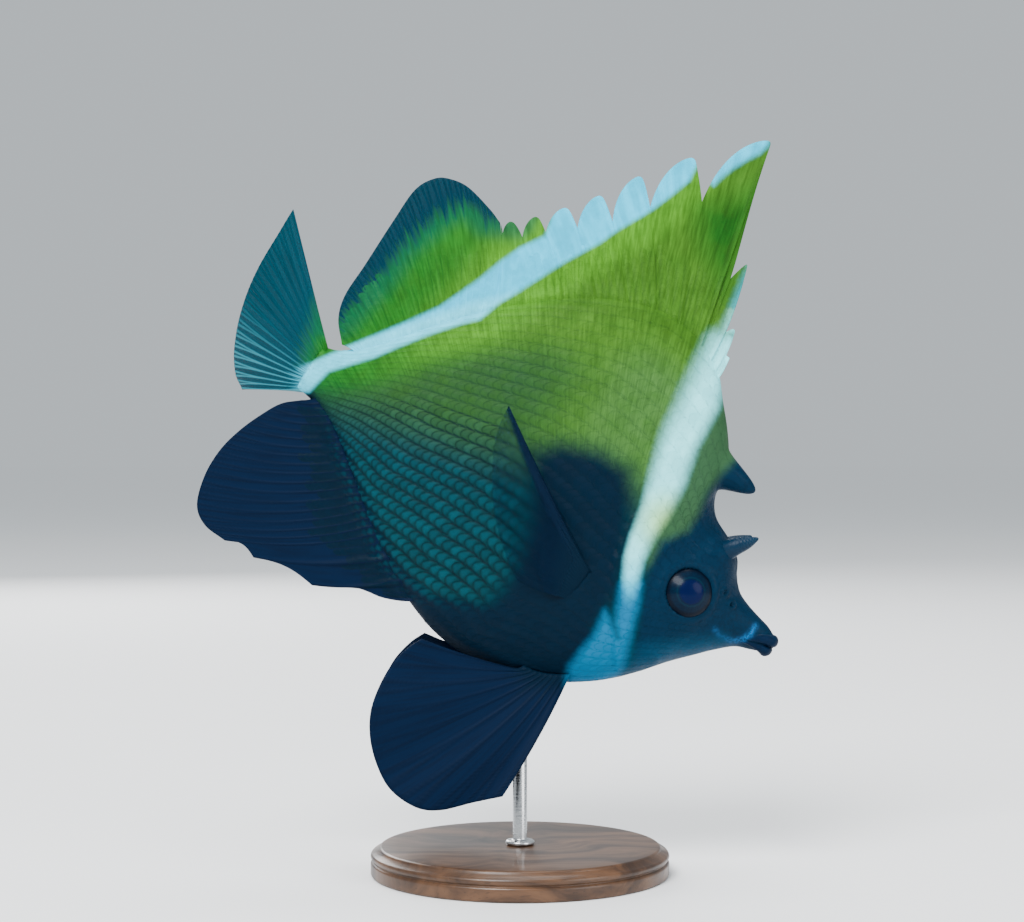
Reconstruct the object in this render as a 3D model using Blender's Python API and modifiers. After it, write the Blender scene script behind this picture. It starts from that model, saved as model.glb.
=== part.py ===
"""Horned bannerfish, life size, as a still model on a plain display stand.

The fish is modelled along its own axis: x runs to the snout, y to its left and z to its back, with zero
at the base of the tail fin. An empty then pitches it nose down and holds it over the stand, whose
underside is the world's floor. Lengths are written in millimetres and turned into metres by mm().
"""

import math

import bmesh
import bpy
import numpy as np
from mathutils import Matrix, Vector


def mm(values):
    """Millimetres as metres, for one number or an array of them."""
    return np.asarray(values, float) * 0.001


# Pose of the fish over the stand
PITCH_DOWN = math.radians(28.87)
TAIL_BASE_BEHIND_ROD = mm(59.2)
TAIL_BASE_HEIGHT = mm(139.5)

# Clearance between pieces that touch
GAP = mm(0.3)
ROOT_SINK = mm(2.6)

# Body stations from snout to tail: back x and z, belly x and z, half width
STATIONS = mm(
    [
        (149.4, 0.0, 148.8, -6.4, 2.6),
        (147.0, 1.3, 145.6, -7.4, 3.5),
        (143.6, 2.4, 141.4, -8.8, 4.6),
        (139.3, 3.9, 136.8, -12.4, 6.2),
        (135.5, 5.9, 132.2, -16.7, 8.0),
        (132.6, 9.4, 127.2, -21.4, 9.8),
        (130.2, 13.9, 121.3, -27.6, 11.5),
        (125.6, 17.5, 114.6, -34.0, 12.8),
        (119.6, 21.0, 108.0, -38.6, 13.6),
        (116.6, 25.6, 101.0, -42.3, 14.0),
        (115.6, 31.6, 94.0, -44.9, 14.1),
        (114.2, 37.8, 87.0, -46.2, 14.0),
        (110.5, 44.0, 80.0, -47.1, 13.8),
        (105.4, 50.6, 72.0, -47.2, 13.3),
        (99.2, 58.2, 64.0, -45.6, 12.7),
        (90.0, 63.8, 55.0, -42.0, 11.9),
        (78.5, 65.4, 46.0, -37.0, 10.9),
        (66.0, 62.4, 38.0, -31.4, 9.8),
        (54.0, 56.6, 30.5, -25.4, 8.7),
        (42.0, 48.2, 23.0, -19.0, 7.5),
        (30.0, 37.6, 16.0, -13.2, 6.3),
        (19.0, 26.0, 10.0, -8.8, 5.2),
        (10.0, 16.4, 5.0, -6.2, 4.3),
        (4.0, 11.4, 1.5, -5.0, 3.6),
        (-1.0, 9.8, -2.0, -4.5, 3.0),
    ]
)
RINGS_PER_STATION = 2
SIDES = 28
SECTION_POWER = 1.12
NOSE_LENGTH = mm(1.2)
TAIL_END_LENGTH = mm(0.6)

# Where the head and the tail stalk part from the torso, top to bottom
GILL_LINE = mm(
    [
        (109, 57), (104.6, 45), (100.6, 32), (98.2, 20), (97, 8), (98.4, -4), (103, -15),
        (109.5, -23.5), (114.5, -31), (119, -41),
    ]
)
TAIL_CUT_X = mm(9.0)
FAR = mm(230)

# Nape hump: centre line from root to tip, and its radius across and up
HUMP_LINE = mm([(107.0, 32.0), (112.5, 34.4), (117.5, 34.5), (121.6, 33.7), (124.2, 33.2)])
HUMP_WIDTH = mm([5.2, 5.0, 4.0, 3.2, 1.9])
HUMP_HEIGHT = mm([5.5, 4.6, 3.3, 2.4, 1.5])
HUMP_RINGS = 9
HUMP_SIDES = 16
HUMP_END_BULGES = (0.3, 0.7)

# Horn over each eye
HORN_LINE = mm([(124.2, -5.0, 11.5), (126.8, -6.6, 15.6), (129.6, -7.7, 18.8), (131.6, -8.4, 21.3)])
HORN_RADIUS = mm([3.4, 2.5, 1.6, 0.35])
HORN_RINGS = 8

# Eye: an oblate ball in a socket with a raised rim
EYE_PLACE = mm((121.6, -1.0))
EYE_RADIUS = mm(7.6)
EYE_DEPTH = mm(4.7)
EYE_PROUD = mm(1.8)
RIM_RADIUS = mm(7.9)
RIM_THICKNESS = mm(0.75)
RIM_STEPS = 24
RIM_SIDES = 5

# Mouth, from its corner to the middle of each lip
LIP_UPPER = mm([(143.0, -4.0, -4.6), (146.4, -3.5, -3.0), (149.2, -2.1, -2.3), (150.4, 0, -2.1)])
LIP_LOWER = mm([(143.0, -3.9, -6.0), (146.2, -3.4, -5.9), (148.8, -2.0, -5.4), (149.8, 0, -5.1)])
LIP_RADIUS = mm([0.7, 1.25, 1.6, 1.75])
MOUTH_SLIT = mm([(145.2, -4.7), (148.0, -4.2), (153.0, -3.5)])
MOUTH_SLIT_HEIGHT = mm(0.45)
LIP_RINGS = 15
NOSTRILS = mm([(134.3, 1.6), (131.0, 3.6)])
NOSTRIL_RADIUS = mm(0.62)
NOSTRIL_DEPTH = mm(3)

# Spiny part of the back fin
SPINE_TIPS = mm(
    [
        (101.2, 61.8), (98.4, 70.2), (92.5, 88.1), (81.8, 121.3), (65, 106.8), (54.3, 95.1),
        (47.1, 84.9), (40.3, 77.2), (34.1, 71), (28.5, 66.4), (25.6, 64.4),
    ]
)
SPINE_NOTCHES = mm(
    [
        (99.6, 62.2), (96.0, 67.0), (89.3, 77.6), (72.8, 96.8), (61.1, 87.1), (53.7, 79.2),
        (46, 72.5), (38.5, 67.6), (33.3, 63.6), (27.9, 61.9),
    ]
)
FRONT_SPINE_ROOTS_X = mm([100.6, 98.9, 96.4])
TALL_SPINE_ROOT_X = mm(92.3)
LAST_SPINE_ROOT_X = mm(36.4)
LEAF_STEPS = np.array([0, 0.2, 0.45, 0.7, 0.9])
LEAF_FALL_POWER = 1.25
LEAF_BULGE = 0.64
LONGEST_SPINE = mm(58)
SHORT_SPINE_SHARE = 0.45
SPINE_BOW = -0.04
STRAIGHTENING_SHARE = 0.3

# Thicknesses that all fins share, as halves, and how rays and spines thin towards the margin
MEMBRANE_HALF = mm(0.28)
SPINE_HALF = mm(0.95)
SPINE_TAPER_POWER = 0.8
RAY_HALF = mm(0.5)
RAY_TAPER = 0.75
ROOT_THICKENING = mm(0.25)
ROOT_RISE = 0.3
FIN_ROWS = 7

# Soft part of the back fin, front to rear
SOFT_DORSAL_ROOT_X = mm([35.8, 7.6])
SOFT_DORSAL_COLUMNS = 31
SOFT_DORSAL_BOW = -0.05
SOFT_DORSAL_MARGIN = mm(
    [
        (25.0, 64.2), (20.8, 66.2), (13, 68.6), (7.5, 68.2), (3.6, 66.2), (0.3, 60.7), (-0.8, 50),
        (-1.8, 35.4), (-2.6, 25.2), (-1.0, 18.4), (3.4, 12.6),
    ]
)

# Anal fin, front to rear: its spines and its soft margin
ANAL_ROOT_X = mm([57.0, 4.2])
ANAL_SPINE_SHARE = 0.12
ANAL_SPINE_STEPS = np.array([0, 0.35, 0.85])
ANAL_SPINE_DIP = mm(1.6)
ANAL_SOFT_COLUMNS = 25
ANAL_BOW = 0.05
ANAL_SPINE_TIPS = mm([(46.6, -44.6), (28.7, -50.9), (10.5, -52.0)])
ANAL_MARGIN = mm(
    [
        (1.1, -51.7), (-5.9, -50.6), (-10.6, -46.7), (-12.7, -38.5), (-12.4, -30), (-10.2, -22.4),
        (-7.0, -15.6), (-3.6, -10.2), (1.0, -6.6),
    ]
)

# Tail fin, upper edge to lower edge, laid out flat before it is swung to the far side
CAUDAL_ROOT = mm([(0.6, 9.4), (1.2, 6.0), (1.4, 2.6), (1.0, -0.8), (0.2, -4.0)])
CAUDAL_MARGIN = mm(
    [
        (-27.5, 39.6), (-28.2, 30.6), (-29.9, 20.4), (-31.6, 10.8), (-33.2, 1.2), (-33.6, -6.8),
        (-31.4, -13.2), (-26.2, -16.8),
    ]
)
CAUDAL_SWING = (math.radians(4), math.radians(50))
CAUDAL_LEAN_AT_ROOT = 0.55
CAUDAL_LEAN_GAIN = 0.75
CAUDAL_COLUMNS = 29
CAUDAL_RAY_HALF = mm(0.55)

# Pelvic fin, front to rear, and how far it splays outwards
PELVIC_ROOT = mm([(104.2, -37.6), (100.5, -39.6), (96.5, -41.4), (92.5, -42.6)])
PELVIC_MARGIN = mm(
    [
        (103.6, -75.4), (97.0, -81.0), (90.3, -86.6), (84, -89.0), (75.6, -88.2), (69.0, -84.2),
        (63.4, -78), (59.9, -70.4), (59.0, -60.5), (60.6, -53), (63.0, -48.2),
    ]
)
PELVIC_ROOT_OUT = mm(4.6)
PELVIC_SPLAY = 0.20
PELVIC_COLUMNS = 19
PELVIC_BOW = 0.02
PELVIC_RIPPLE = mm(0.7)
PELVIC_RIPPLES = 2.5
PELVIC_RAY_HALF = mm(0.575)

# Pectoral fin, upper edge to lower edge, and how far it stands off the flank
PECTORAL_ROOT = mm([(94.6, -9.2), (94.2, -12.4), (93.4, -15.8), (92.2, -19.0)])
PECTORAL_MARGIN = mm(
    [(53.2, 19.6), (53.6, 13), (56.2, 5.5), (60.4, -2.5), (66.0, -10.2), (72.4, -16.6), (78.6, -21.2)]
)
PECTORAL_STAND_OFF = 0.24
PECTORAL_TIP_RETURN = 0.25
PECTORAL_SINK = mm(1.8)
PECTORAL_COLUMNS = 23
PECTORAL_BOW = -0.04

# Display stand
BASE_RADIUS = mm(42)
BASE_THICKNESS = mm(8)
BASE_EDGE = mm(1.6)
ROD_RADIUS = mm(2.0)
ROD_SOCKET_FLOOR = mm(2.5)
ROD_TOP_HEIGHT = mm(72.5)
ROD_SIDES = 24
BASE_SIDES = 56


def collection(name, hidden=False):
    made = bpy.data.collections.new(name)
    made.hide_render = hidden
    bpy.context.scene.collection.children.link(made)
    return made


for leftover in list(bpy.data.objects):
    bpy.data.objects.remove(leftover)
PARTS = collection("horned_bannerfish")
CUTTERS = collection("cutters", hidden=True)
TAIL_BASE_PLACE = Matrix.Translation((-TAIL_BASE_BEHIND_ROD, 0, TAIL_BASE_HEIGHT))
FISH_POSE = TAIL_BASE_PLACE @ Matrix.Rotation(PITCH_DOWN, 4, "Y")


def material(name, colour, roughness, metallic=0.0):
    made = bpy.data.materials.new(name)
    made.use_nodes = True
    shader = made.node_tree.nodes["Principled BSDF"]
    shader.inputs["Base Color"].default_value = (*colour, 1)
    shader.inputs["Roughness"].default_value = roughness
    shader.inputs["Metallic"].default_value = metallic
    return made


def mesh_object(name, points, faces, home=PARTS):
    """An object from points and faces, with its normals turned outwards."""
    mesh = bpy.data.meshes.new(name)
    mesh.from_pydata([tuple(point) for point in points], [], [tuple(face) for face in faces])
    shape = bmesh.new()
    shape.from_mesh(mesh)
    bmesh.ops.recalc_face_normals(shape, faces=shape.faces)
    if shape.calc_volume(signed=True) < 0:
        bmesh.ops.reverse_faces(shape, faces=shape.faces)
    shape.to_mesh(mesh)
    shape.free()
    made = bpy.data.objects.new(name, mesh)
    home.objects.link(made)
    return made


def as_cutter(piece):
    """Keeps a helper out of the render and shows it as wire."""
    piece.hide_render = True
    piece.display_type = "WIRE"
    for home in list(piece.users_collection):
        home.objects.unlink(piece)
    CUTTERS.objects.link(piece)
    return piece


def primitive(add, name, **sizes):
    """A Blender primitive, moved to the cutters until it is used."""
    add(**sizes)
    piece = bpy.context.active_object
    piece.name = name
    return as_cutter(piece)


def settle(piece):
    """Applies the modifiers and keeps only the largest closed surface."""
    bpy.context.view_layer.update()
    graph = bpy.context.evaluated_depsgraph_get()
    mesh = bpy.data.meshes.new_from_object(piece.evaluated_get(graph))
    piece.modifiers.clear()
    piece.data = mesh
    shape = bmesh.new()
    shape.from_mesh(mesh)
    waiting = set(shape.faces)
    surfaces = []
    while waiting:
        edge = [waiting.pop()]
        surface = list(edge)
        while edge:
            near = {other for side in edge.pop().edges for other in side.link_faces} & waiting
            waiting -= near
            edge.extend(near)
            surface.extend(near)
        surfaces.append(surface)
    largest = max(surfaces, key=lambda surface: sum(face.calc_area() for face in surface))
    loose = [face for surface in surfaces if surface is not largest for face in surface]
    bmesh.ops.delete(shape, geom=loose, context="FACES")
    shape.to_mesh(mesh)
    shape.free()
    return piece


def combine(piece, others, operation, solver="EXACT"):
    """One Boolean of the piece with closed helpers, after which only its largest surface is kept."""
    group = bpy.data.collections.new(piece.name + "_" + operation.lower())
    for other in others:
        group.objects.link(other)
    boolean = piece.modifiers.new(operation.title(), "BOOLEAN")
    boolean.operand_type = "COLLECTION"
    boolean.operation = operation
    boolean.solver = solver
    boolean.collection = group
    settle(piece)
    bpy.data.collections.remove(group)
    return piece


def fuse(piece, others):
    """Joins the others to the piece and removes them."""
    combine(piece, others, "UNION", solver="MANIFOLD")
    for other in others:
        bpy.data.objects.remove(other)
    return piece


def copy_of(piece, name, mirrored=False):
    """A copy with a mesh of its own, turned over to the other side of the fish if asked."""
    made = bpy.data.objects.new(name, piece.data.copy())
    if mirrored:
        made.data.transform(Matrix.Scale(-1, 4, (0, 1, 0)))
        made.data.flip_normals()
    PARTS.objects.link(made)
    return made


def spline(points, at):
    """Catmull-Rom curve through the points, read at parameters from 0 to the last point's number."""
    points = np.asarray(points, float)
    guides = np.concatenate([[2 * points[0] - points[1]], points, [2 * points[-1] - points[-2]]])
    at = np.clip(np.asarray(at, float), 0, len(points) - 1)
    start = np.minimum(at.astype(int), len(points) - 2)
    t = (at - start)[..., None]
    before, first, second, after = (guides[start + k] for k in range(4))
    return 0.5 * (
        2 * first
        + (second - before) * t
        + (2 * before - 5 * first + 4 * second - after) * t**2
        + (3 * first - before - 3 * second + after) * t**3
    )


def along(points, share):
    """Places at shares of the length of a smooth curve through the points."""
    fine = spline(points, np.linspace(0, len(points) - 1, 24 * len(points)))
    steps = np.linalg.norm(np.diff(fine, axis=0), axis=1)
    length = np.concatenate([[0], np.cumsum(steps)])
    return np.stack([np.interp(np.asarray(share) * length[-1], length, axis) for axis in fine.T], axis=-1)


def back_line(x):
    """Height of the body's back at x."""
    order = np.argsort(STATIONS[:, 0])
    return np.interp(x, STATIONS[order, 0], STATIONS[order, 1])


def belly_line(x):
    """Height of the body's belly at x."""
    order = np.argsort(STATIONS[:, 2])
    return np.interp(x, STATIONS[order, 2], STATIONS[order, 3])


def ring_loft(name, rings, ends):
    """A closed skin through rings of as many points each, with a pole at each end."""
    count, sides = rings.shape[:2]
    points = np.concatenate([rings.reshape(-1, 3), ends])
    ring, side = np.meshgrid(np.arange(count - 1), np.arange(sides), indexing="ij")
    after = (side + 1) % sides
    corners = [(ring, side), (ring, after), (ring + 1, after), (ring + 1, side)]
    quads = np.stack([row * sides + column for row, column in corners], -1)
    faces = quads.reshape(-1, 4).tolist()
    for pole, first in ((count * sides, 0), (count * sides + 1, (count - 1) * sides)):
        faces += [(pole, first + k, first + (k + 1) % sides) for k in range(sides)]
    return mesh_object(name, points, faces)


def body_skin(name):
    """The whole fish without fins: an oval section across each station, drawn smoothly along the body."""
    last = len(STATIONS) - 1
    rows = spline(STATIONS, np.linspace(0, last, last * RINGS_PER_STATION + 1))
    turn = np.linspace(0, 2 * np.pi, SIDES, endpoint=False)
    up = (1 + np.cos(turn)) / 2
    out = -np.sign(np.sin(turn)) * np.abs(np.sin(turn)) ** SECTION_POWER
    back, belly, width = rows[:, 0:2], rows[:, 2:4], rows[:, 4]
    flat = belly[:, None] + (back - belly)[:, None] * up[None, :, None]
    rings = np.stack([flat[..., 0], width[:, None] * out[None], flat[..., 1]], -1)
    nose = rings[0].mean(0) + (NOSE_LENGTH, 0, 0)
    tail = rings[-1].mean(0) - (TAIL_END_LENGTH, 0, 0)
    return ring_loft(name, rings, [nose, tail])


def grown(piece, amount):
    """A cutter that stands the given distance outside the piece."""
    made = copy_of(piece, piece.name + "_clearance")
    shape = bmesh.new()
    shape.from_mesh(made.data)
    shape.normal_update()
    for point in shape.verts:
        point.co += point.normal * amount
    shape.to_mesh(made.data)
    shape.free()
    return as_cutter(made)


def prism(name, outline):
    """A flat outline in the fish's middle plane, carried right across its width."""
    count = len(outline)
    points = [(x, side * FAR, z) for side in (-1, 1) for x, z in outline]
    walls = [(k, (k + 1) % count, count + (k + 1) % count, count + k) for k in range(count)]
    caps = [tuple(range(count)), tuple(range(count, 2 * count))]
    return as_cutter(mesh_object(name, points, walls + caps))


def gill_edge(shift):
    """The gill line moved forwards by a distance square to itself."""
    line = along(GILL_LINE, np.linspace(0, 1, 28))
    run = np.gradient(line, axis=0)
    square = np.stack([-run[:, 1], run[:, 0]], -1)
    square /= np.linalg.norm(square, axis=1)[:, None]
    return line + shift * square


def tapered_tube(name, line, across, upright):
    """A tube with oval sections square to its line, in the fish's middle plane, with rounded ends."""
    root_bulge, tip_bulge = HUMP_END_BULGES
    run = np.gradient(line, axis=0)
    run /= np.linalg.norm(run, axis=1)[:, None]
    rise = np.stack([-run[:, 2], np.zeros(len(run)), run[:, 0]], -1)
    turn = np.linspace(0, 2 * np.pi, HUMP_SIDES, endpoint=False)
    wide = across[:, None, None] * np.cos(turn)[None, :, None] * np.array([0, 1, 0])
    high = upright[:, None, None] * np.sin(turn)[None, :, None] * rise[:, None]
    ends = [line[0] - run[0] * across[0] * root_bulge, line[-1] + run[-1] * across[-1] * tip_bulge]
    return ring_loft(name, line[:, None] + wide + high, ends)


def bevelled_curve(name, points, radii):
    """A round tapered tube along a smooth curve, made a closed mesh."""
    curve = bpy.data.curves.new(name, "CURVE")
    curve.dimensions = "3D"
    curve.bevel_depth = 1.0
    curve.bevel_resolution = 2
    curve.use_fill_caps = True
    run = curve.splines.new("POLY")
    run.points.add(len(points) - 1)
    for knot, place, radius in zip(run.points, points, radii):
        knot.co = (*place, 1)
        knot.radius = radius
    drawn = bpy.data.objects.new(name + "_curve", curve)
    CUTTERS.objects.link(drawn)
    bpy.context.view_layer.update()
    graph = bpy.context.evaluated_depsgraph_get()
    mesh = bpy.data.meshes.new_from_object(drawn.evaluated_get(graph))
    shape = bmesh.new()
    shape.from_mesh(mesh)
    bmesh.ops.remove_doubles(shape, verts=shape.verts, dist=mm(0.001))
    bmesh.ops.recalc_face_normals(shape, faces=shape.faces)
    shape.to_mesh(mesh)
    shape.free()
    bpy.data.objects.remove(drawn)
    made = bpy.data.objects.new(name, mesh)
    CUTTERS.objects.link(made)
    return as_cutter(made)


def both_sides(points):
    """The half line of a mouth's lip, completed round the middle to the other side."""
    return np.concatenate([points, points[-2::-1] * (1, -1, 1)])


def fin_sheet(name, centre, half):
    """A closed fin from a grid of middle points and half thicknesses, with like triangles on both faces."""
    columns, rows = half.shape
    normal = np.cross(np.gradient(centre, axis=0), np.gradient(centre, axis=1))
    normal /= np.linalg.norm(normal, axis=2)[..., None]
    points = np.concatenate([(centre + normal * half[..., None]), (centre - normal * half[..., None])])
    number = np.arange(2 * columns * rows).reshape(2, columns, rows)
    faces = []
    for side, flip in ((0, False), (1, True)):
        a, b = number[side, :-1, :-1], number[side, 1:, :-1]
        c, d = number[side, 1:, 1:], number[side, :-1, 1:]
        halves = [np.stack(corner, -1).reshape(-1, 3) for corner in ((a, b, c), (a, c, d))]
        faces += [tri[::-1] if flip else tri for pair in halves for tri in pair.tolist()]
    rim = np.concatenate(
        [number[:, :-1, 0].T, number[:, -1, :-1].T, number[:, :0:-1, -1].T, number[:, 0, :0:-1].T]
    )
    after = np.roll(rim, -1, axis=0)
    faces += np.stack([rim[:, 0], rim[:, 1], after[:, 1]], -1).tolist()
    faces += np.stack([rim[:, 0], after[:, 1], after[:, 0]], -1).tolist()
    return mesh_object(name, points.reshape(-1, 3), faces)


def fan(root, margin, rows, bow):
    """Middle points of a flat fin: each column runs from the root to the margin, bowed to the front.

    Bow is one number, or one for each column.
    """
    reach = np.linspace(0, 1, rows)
    chord = margin - root
    square = np.stack([-chord[:, 1], chord[:, 0]], -1)
    arch = np.multiply.outer(bow * np.ones(len(root)), 4 * reach * (1 - reach))
    flat = root[:, None] + chord[:, None] * reach[None, :, None] + square[:, None] * arch[..., None]
    return np.stack([flat[..., 0], np.zeros(flat.shape[:2]), flat[..., 1]], -1), reach


def root_thickness(reach):
    """How much thicker each half of a fin is near its root."""
    return ROOT_THICKENING * (1 - reach[None]) ** 3


def ray_ridges(rays, reach, height=RAY_HALF):
    """Half thickness of a soft fin, with a ridge on each column that is a ray, thinning to the margin."""
    taper = 1 - RAY_TAPER * reach
    ridge = np.asarray(rays, float)[:, None] * (height - MEMBRANE_HALF) * taper[None]
    return MEMBRANE_HALF + ridge + root_thickness(reach)


def every_second(columns):
    """1 for each column that is a ray and 0 for the membrane between."""
    return np.arange(columns) % 2


def spine_ridge(reach):
    """Extra half thickness of a spine, thinning to its tip."""
    return (SPINE_HALF - MEMBRANE_HALF) * (1 - reach) ** SPINE_TAPER_POWER


def trimmed(fin, body_clearance):
    """The fin cut clear of the body, so that its root lies along the skin."""
    return combine(fin, [body_clearance], "DIFFERENCE", solver="MANIFOLD")


def spiny_dorsal():
    """Eleven spines, each the front edge of a leaf of membrane that falls to a notch behind it."""
    spines = len(SPINE_TIPS)
    even = np.linspace(TALL_SPINE_ROOT_X, LAST_SPINE_ROOT_X, spines - len(FRONT_SPINE_ROOTS_X))
    roots = np.concatenate([FRONT_SPINE_ROOTS_X, even])
    share = (LEAF_STEPS / LEAF_STEPS[-1])[:, None]
    root_x, margin, spine = [], [], []
    for k in range(spines - 1):
        fall = SPINE_NOTCHES[k] - SPINE_TIPS[k]
        bulge = LEAF_BULGE * np.array([fall[1], -fall[0]]) * share * (1 - share)
        margin.append(SPINE_TIPS[k] + fall * share**LEAF_FALL_POWER + bulge)
        root_x.append(roots[k] + (roots[k + 1] - roots[k]) * LEAF_STEPS)
        spine.append(LEAF_STEPS == 0)
    root_x = np.append(np.concatenate(root_x), roots[-1])
    margin = np.concatenate([*margin, SPINE_TIPS[-1:]])
    spine = np.append(np.concatenate(spine), True)
    root = np.stack([root_x, back_line(root_x) - ROOT_SINK], -1)
    size = np.linalg.norm(margin - root, axis=1) / LONGEST_SPINE
    bow = SPINE_BOW * np.clip((1 - size) / STRAIGHTENING_SHARE, 0, 1)
    centre, reach = fan(root, margin, FIN_ROWS + 1, bow)
    strength = SHORT_SPINE_SHARE + (1 - SHORT_SPINE_SHARE) * size
    half = MEMBRANE_HALF + spine[:, None] * strength[:, None] * spine_ridge(reach)[None]
    return fin_sheet("dorsal_fin_spiny", centre, half + root_thickness(reach))


def soft_dorsal():
    """Soft rays from the rear of the back, with a rounded upper lobe."""
    share = np.linspace(0, 1, SOFT_DORSAL_COLUMNS)
    x = SOFT_DORSAL_ROOT_X[0] + (SOFT_DORSAL_ROOT_X[1] - SOFT_DORSAL_ROOT_X[0]) * share
    root = np.stack([x, back_line(x) - ROOT_SINK * (1 - ROOT_RISE * share)], -1)
    centre, reach = fan(root, along(SOFT_DORSAL_MARGIN, share), FIN_ROWS, SOFT_DORSAL_BOW)
    return fin_sheet("dorsal_fin_soft", centre, ray_ridges(every_second(SOFT_DORSAL_COLUMNS), reach))


def anal():
    """Three strong spines, then soft rays with a rounded margin."""
    spines = len(ANAL_SPINE_TIPS)
    ends = [*ANAL_SPINE_TIPS, ANAL_MARGIN[0]]
    dip = np.array([0, 1.0]) * ANAL_SPINE_DIP * np.sin(np.pi * ANAL_SPINE_STEPS)[:, None]
    margin, share = [], []
    for k in range(spines):
        margin.append(ends[k] + (ends[k + 1] - ends[k]) * ANAL_SPINE_STEPS[:, None] + dip)
        share.append((k + ANAL_SPINE_STEPS) * ANAL_SPINE_SHARE)
    soft = np.linspace(0, 1, ANAL_SOFT_COLUMNS)
    margin = np.concatenate([*margin, along(ANAL_MARGIN, soft)])
    spiny_share = spines * ANAL_SPINE_SHARE
    share = np.concatenate([*share, spiny_share + (1 - spiny_share) * soft])
    x = ANAL_ROOT_X[0] + (ANAL_ROOT_X[1] - ANAL_ROOT_X[0]) * share
    root = np.stack([x, belly_line(x) + ROOT_SINK * (1 - ROOT_RISE * share)], -1)
    centre, reach = fan(root, margin, FIN_ROWS, ANAL_BOW)
    spine = np.concatenate([np.tile(ANAL_SPINE_STEPS == 0, spines), np.zeros(ANAL_SOFT_COLUMNS)])
    ray = np.concatenate([np.zeros(spines * len(ANAL_SPINE_STEPS)), every_second(ANAL_SOFT_COLUMNS)])
    half = ray_ridges(ray, reach) + spine[:, None] * spine_ridge(reach)[None]
    return fin_sheet("anal_fin", centre, half)


def caudal():
    """A spread tail fin whose lower rays swing to the far side, more so towards the lower edge."""
    share = np.linspace(0, 1, CAUDAL_COLUMNS)
    root = along(CAUDAL_ROOT, share)
    centre, reach = fan(root, along(CAUDAL_MARGIN, share), FIN_ROWS, 0.0)
    ease = share**2 * (3 - 2 * share)
    swing = CAUDAL_SWING[0] + (CAUDAL_SWING[1] - CAUDAL_SWING[0]) * ease
    lean = swing[:, None] * (CAUDAL_LEAN_AT_ROOT + CAUDAL_LEAN_GAIN * reach[None])
    step = np.diff(centre, axis=1)
    length = np.linalg.norm(step, axis=2)
    middle = (lean[:, 1:] + lean[:, :-1]) / 2
    moved = step * np.cos(middle)[..., None]
    moved[..., 1] = length * np.sin(middle)
    centre = np.concatenate([centre[:, :1], centre[:, :1] + np.cumsum(moved, axis=1)], axis=1)
    return fin_sheet("caudal_fin", centre, ray_ridges(every_second(CAUDAL_COLUMNS), reach, CAUDAL_RAY_HALF))


def pelvic():
    """The right pelvic fin: a spine in front and a wide fan of rays, splayed outwards."""
    share = np.linspace(0, 1, PELVIC_COLUMNS)
    centre, reach = fan(along(PELVIC_ROOT, share), along(PELVIC_MARGIN, share), FIN_ROWS, PELVIC_BOW)
    drop = np.linalg.norm(centre - centre[:, :1], axis=2)
    ripple = PELVIC_RIPPLE * np.sin(share * PELVIC_RIPPLES * 2 * np.pi)[:, None] * reach[None]
    centre[..., 1] = -(PELVIC_ROOT_OUT + PELVIC_SPLAY * drop) + ripple
    half = ray_ridges(every_second(PELVIC_COLUMNS), reach, PELVIC_RAY_HALF)
    half[0] += spine_ridge(reach)
    return fin_sheet("pelvic_fin_right", centre, half)


def pectoral(skin):
    """The right pectoral fin: a fan folded back along the flank and standing off it."""
    share = np.linspace(0, 1, PECTORAL_COLUMNS)
    root = along(PECTORAL_ROOT, share)
    centre, reach = fan(root, along(PECTORAL_MARGIN, share), FIN_ROWS, PECTORAL_BOW)
    side = np.array([skin.ray_cast((x, -FAR, z), (0, 1, 0))[1][1] for x, z in root])
    drop = np.linalg.norm(centre - centre[:, :1], axis=2)
    out = PECTORAL_STAND_OFF * drop * (1 - PECTORAL_TIP_RETURN * reach[None])
    centre[..., 1] = side[:, None] + PECTORAL_SINK - out
    return fin_sheet("pectoral_fin_right", centre, ray_ridges(every_second(PECTORAL_COLUMNS), reach))


def eye_frame(skin, side):
    """Axes on the skin over one eye: the third points out of the head."""
    x, z = EYE_PLACE
    place, normal = skin.ray_cast((x, side * FAR, z), (0, -side, 0))[1:3]
    return Matrix.Translation(place) @ normal.to_track_quat("Z", "Y").to_matrix().to_4x4()


def eye_ball(name, skin, swell, side):
    """An oblate ball set into the head, standing a little proud of the skin."""
    ball = primitive(
        bpy.ops.mesh.primitive_uv_sphere_add, name, segments=24, ring_count=12, radius=1.0
    )
    sink = Matrix.Translation((0, 0, EYE_PROUD - EYE_DEPTH))
    size = Matrix.Diagonal((EYE_RADIUS + swell, EYE_RADIUS + swell, EYE_DEPTH + swell, 1))
    ball.data.transform(eye_frame(skin, side) @ sink @ size)
    return ball


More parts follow.
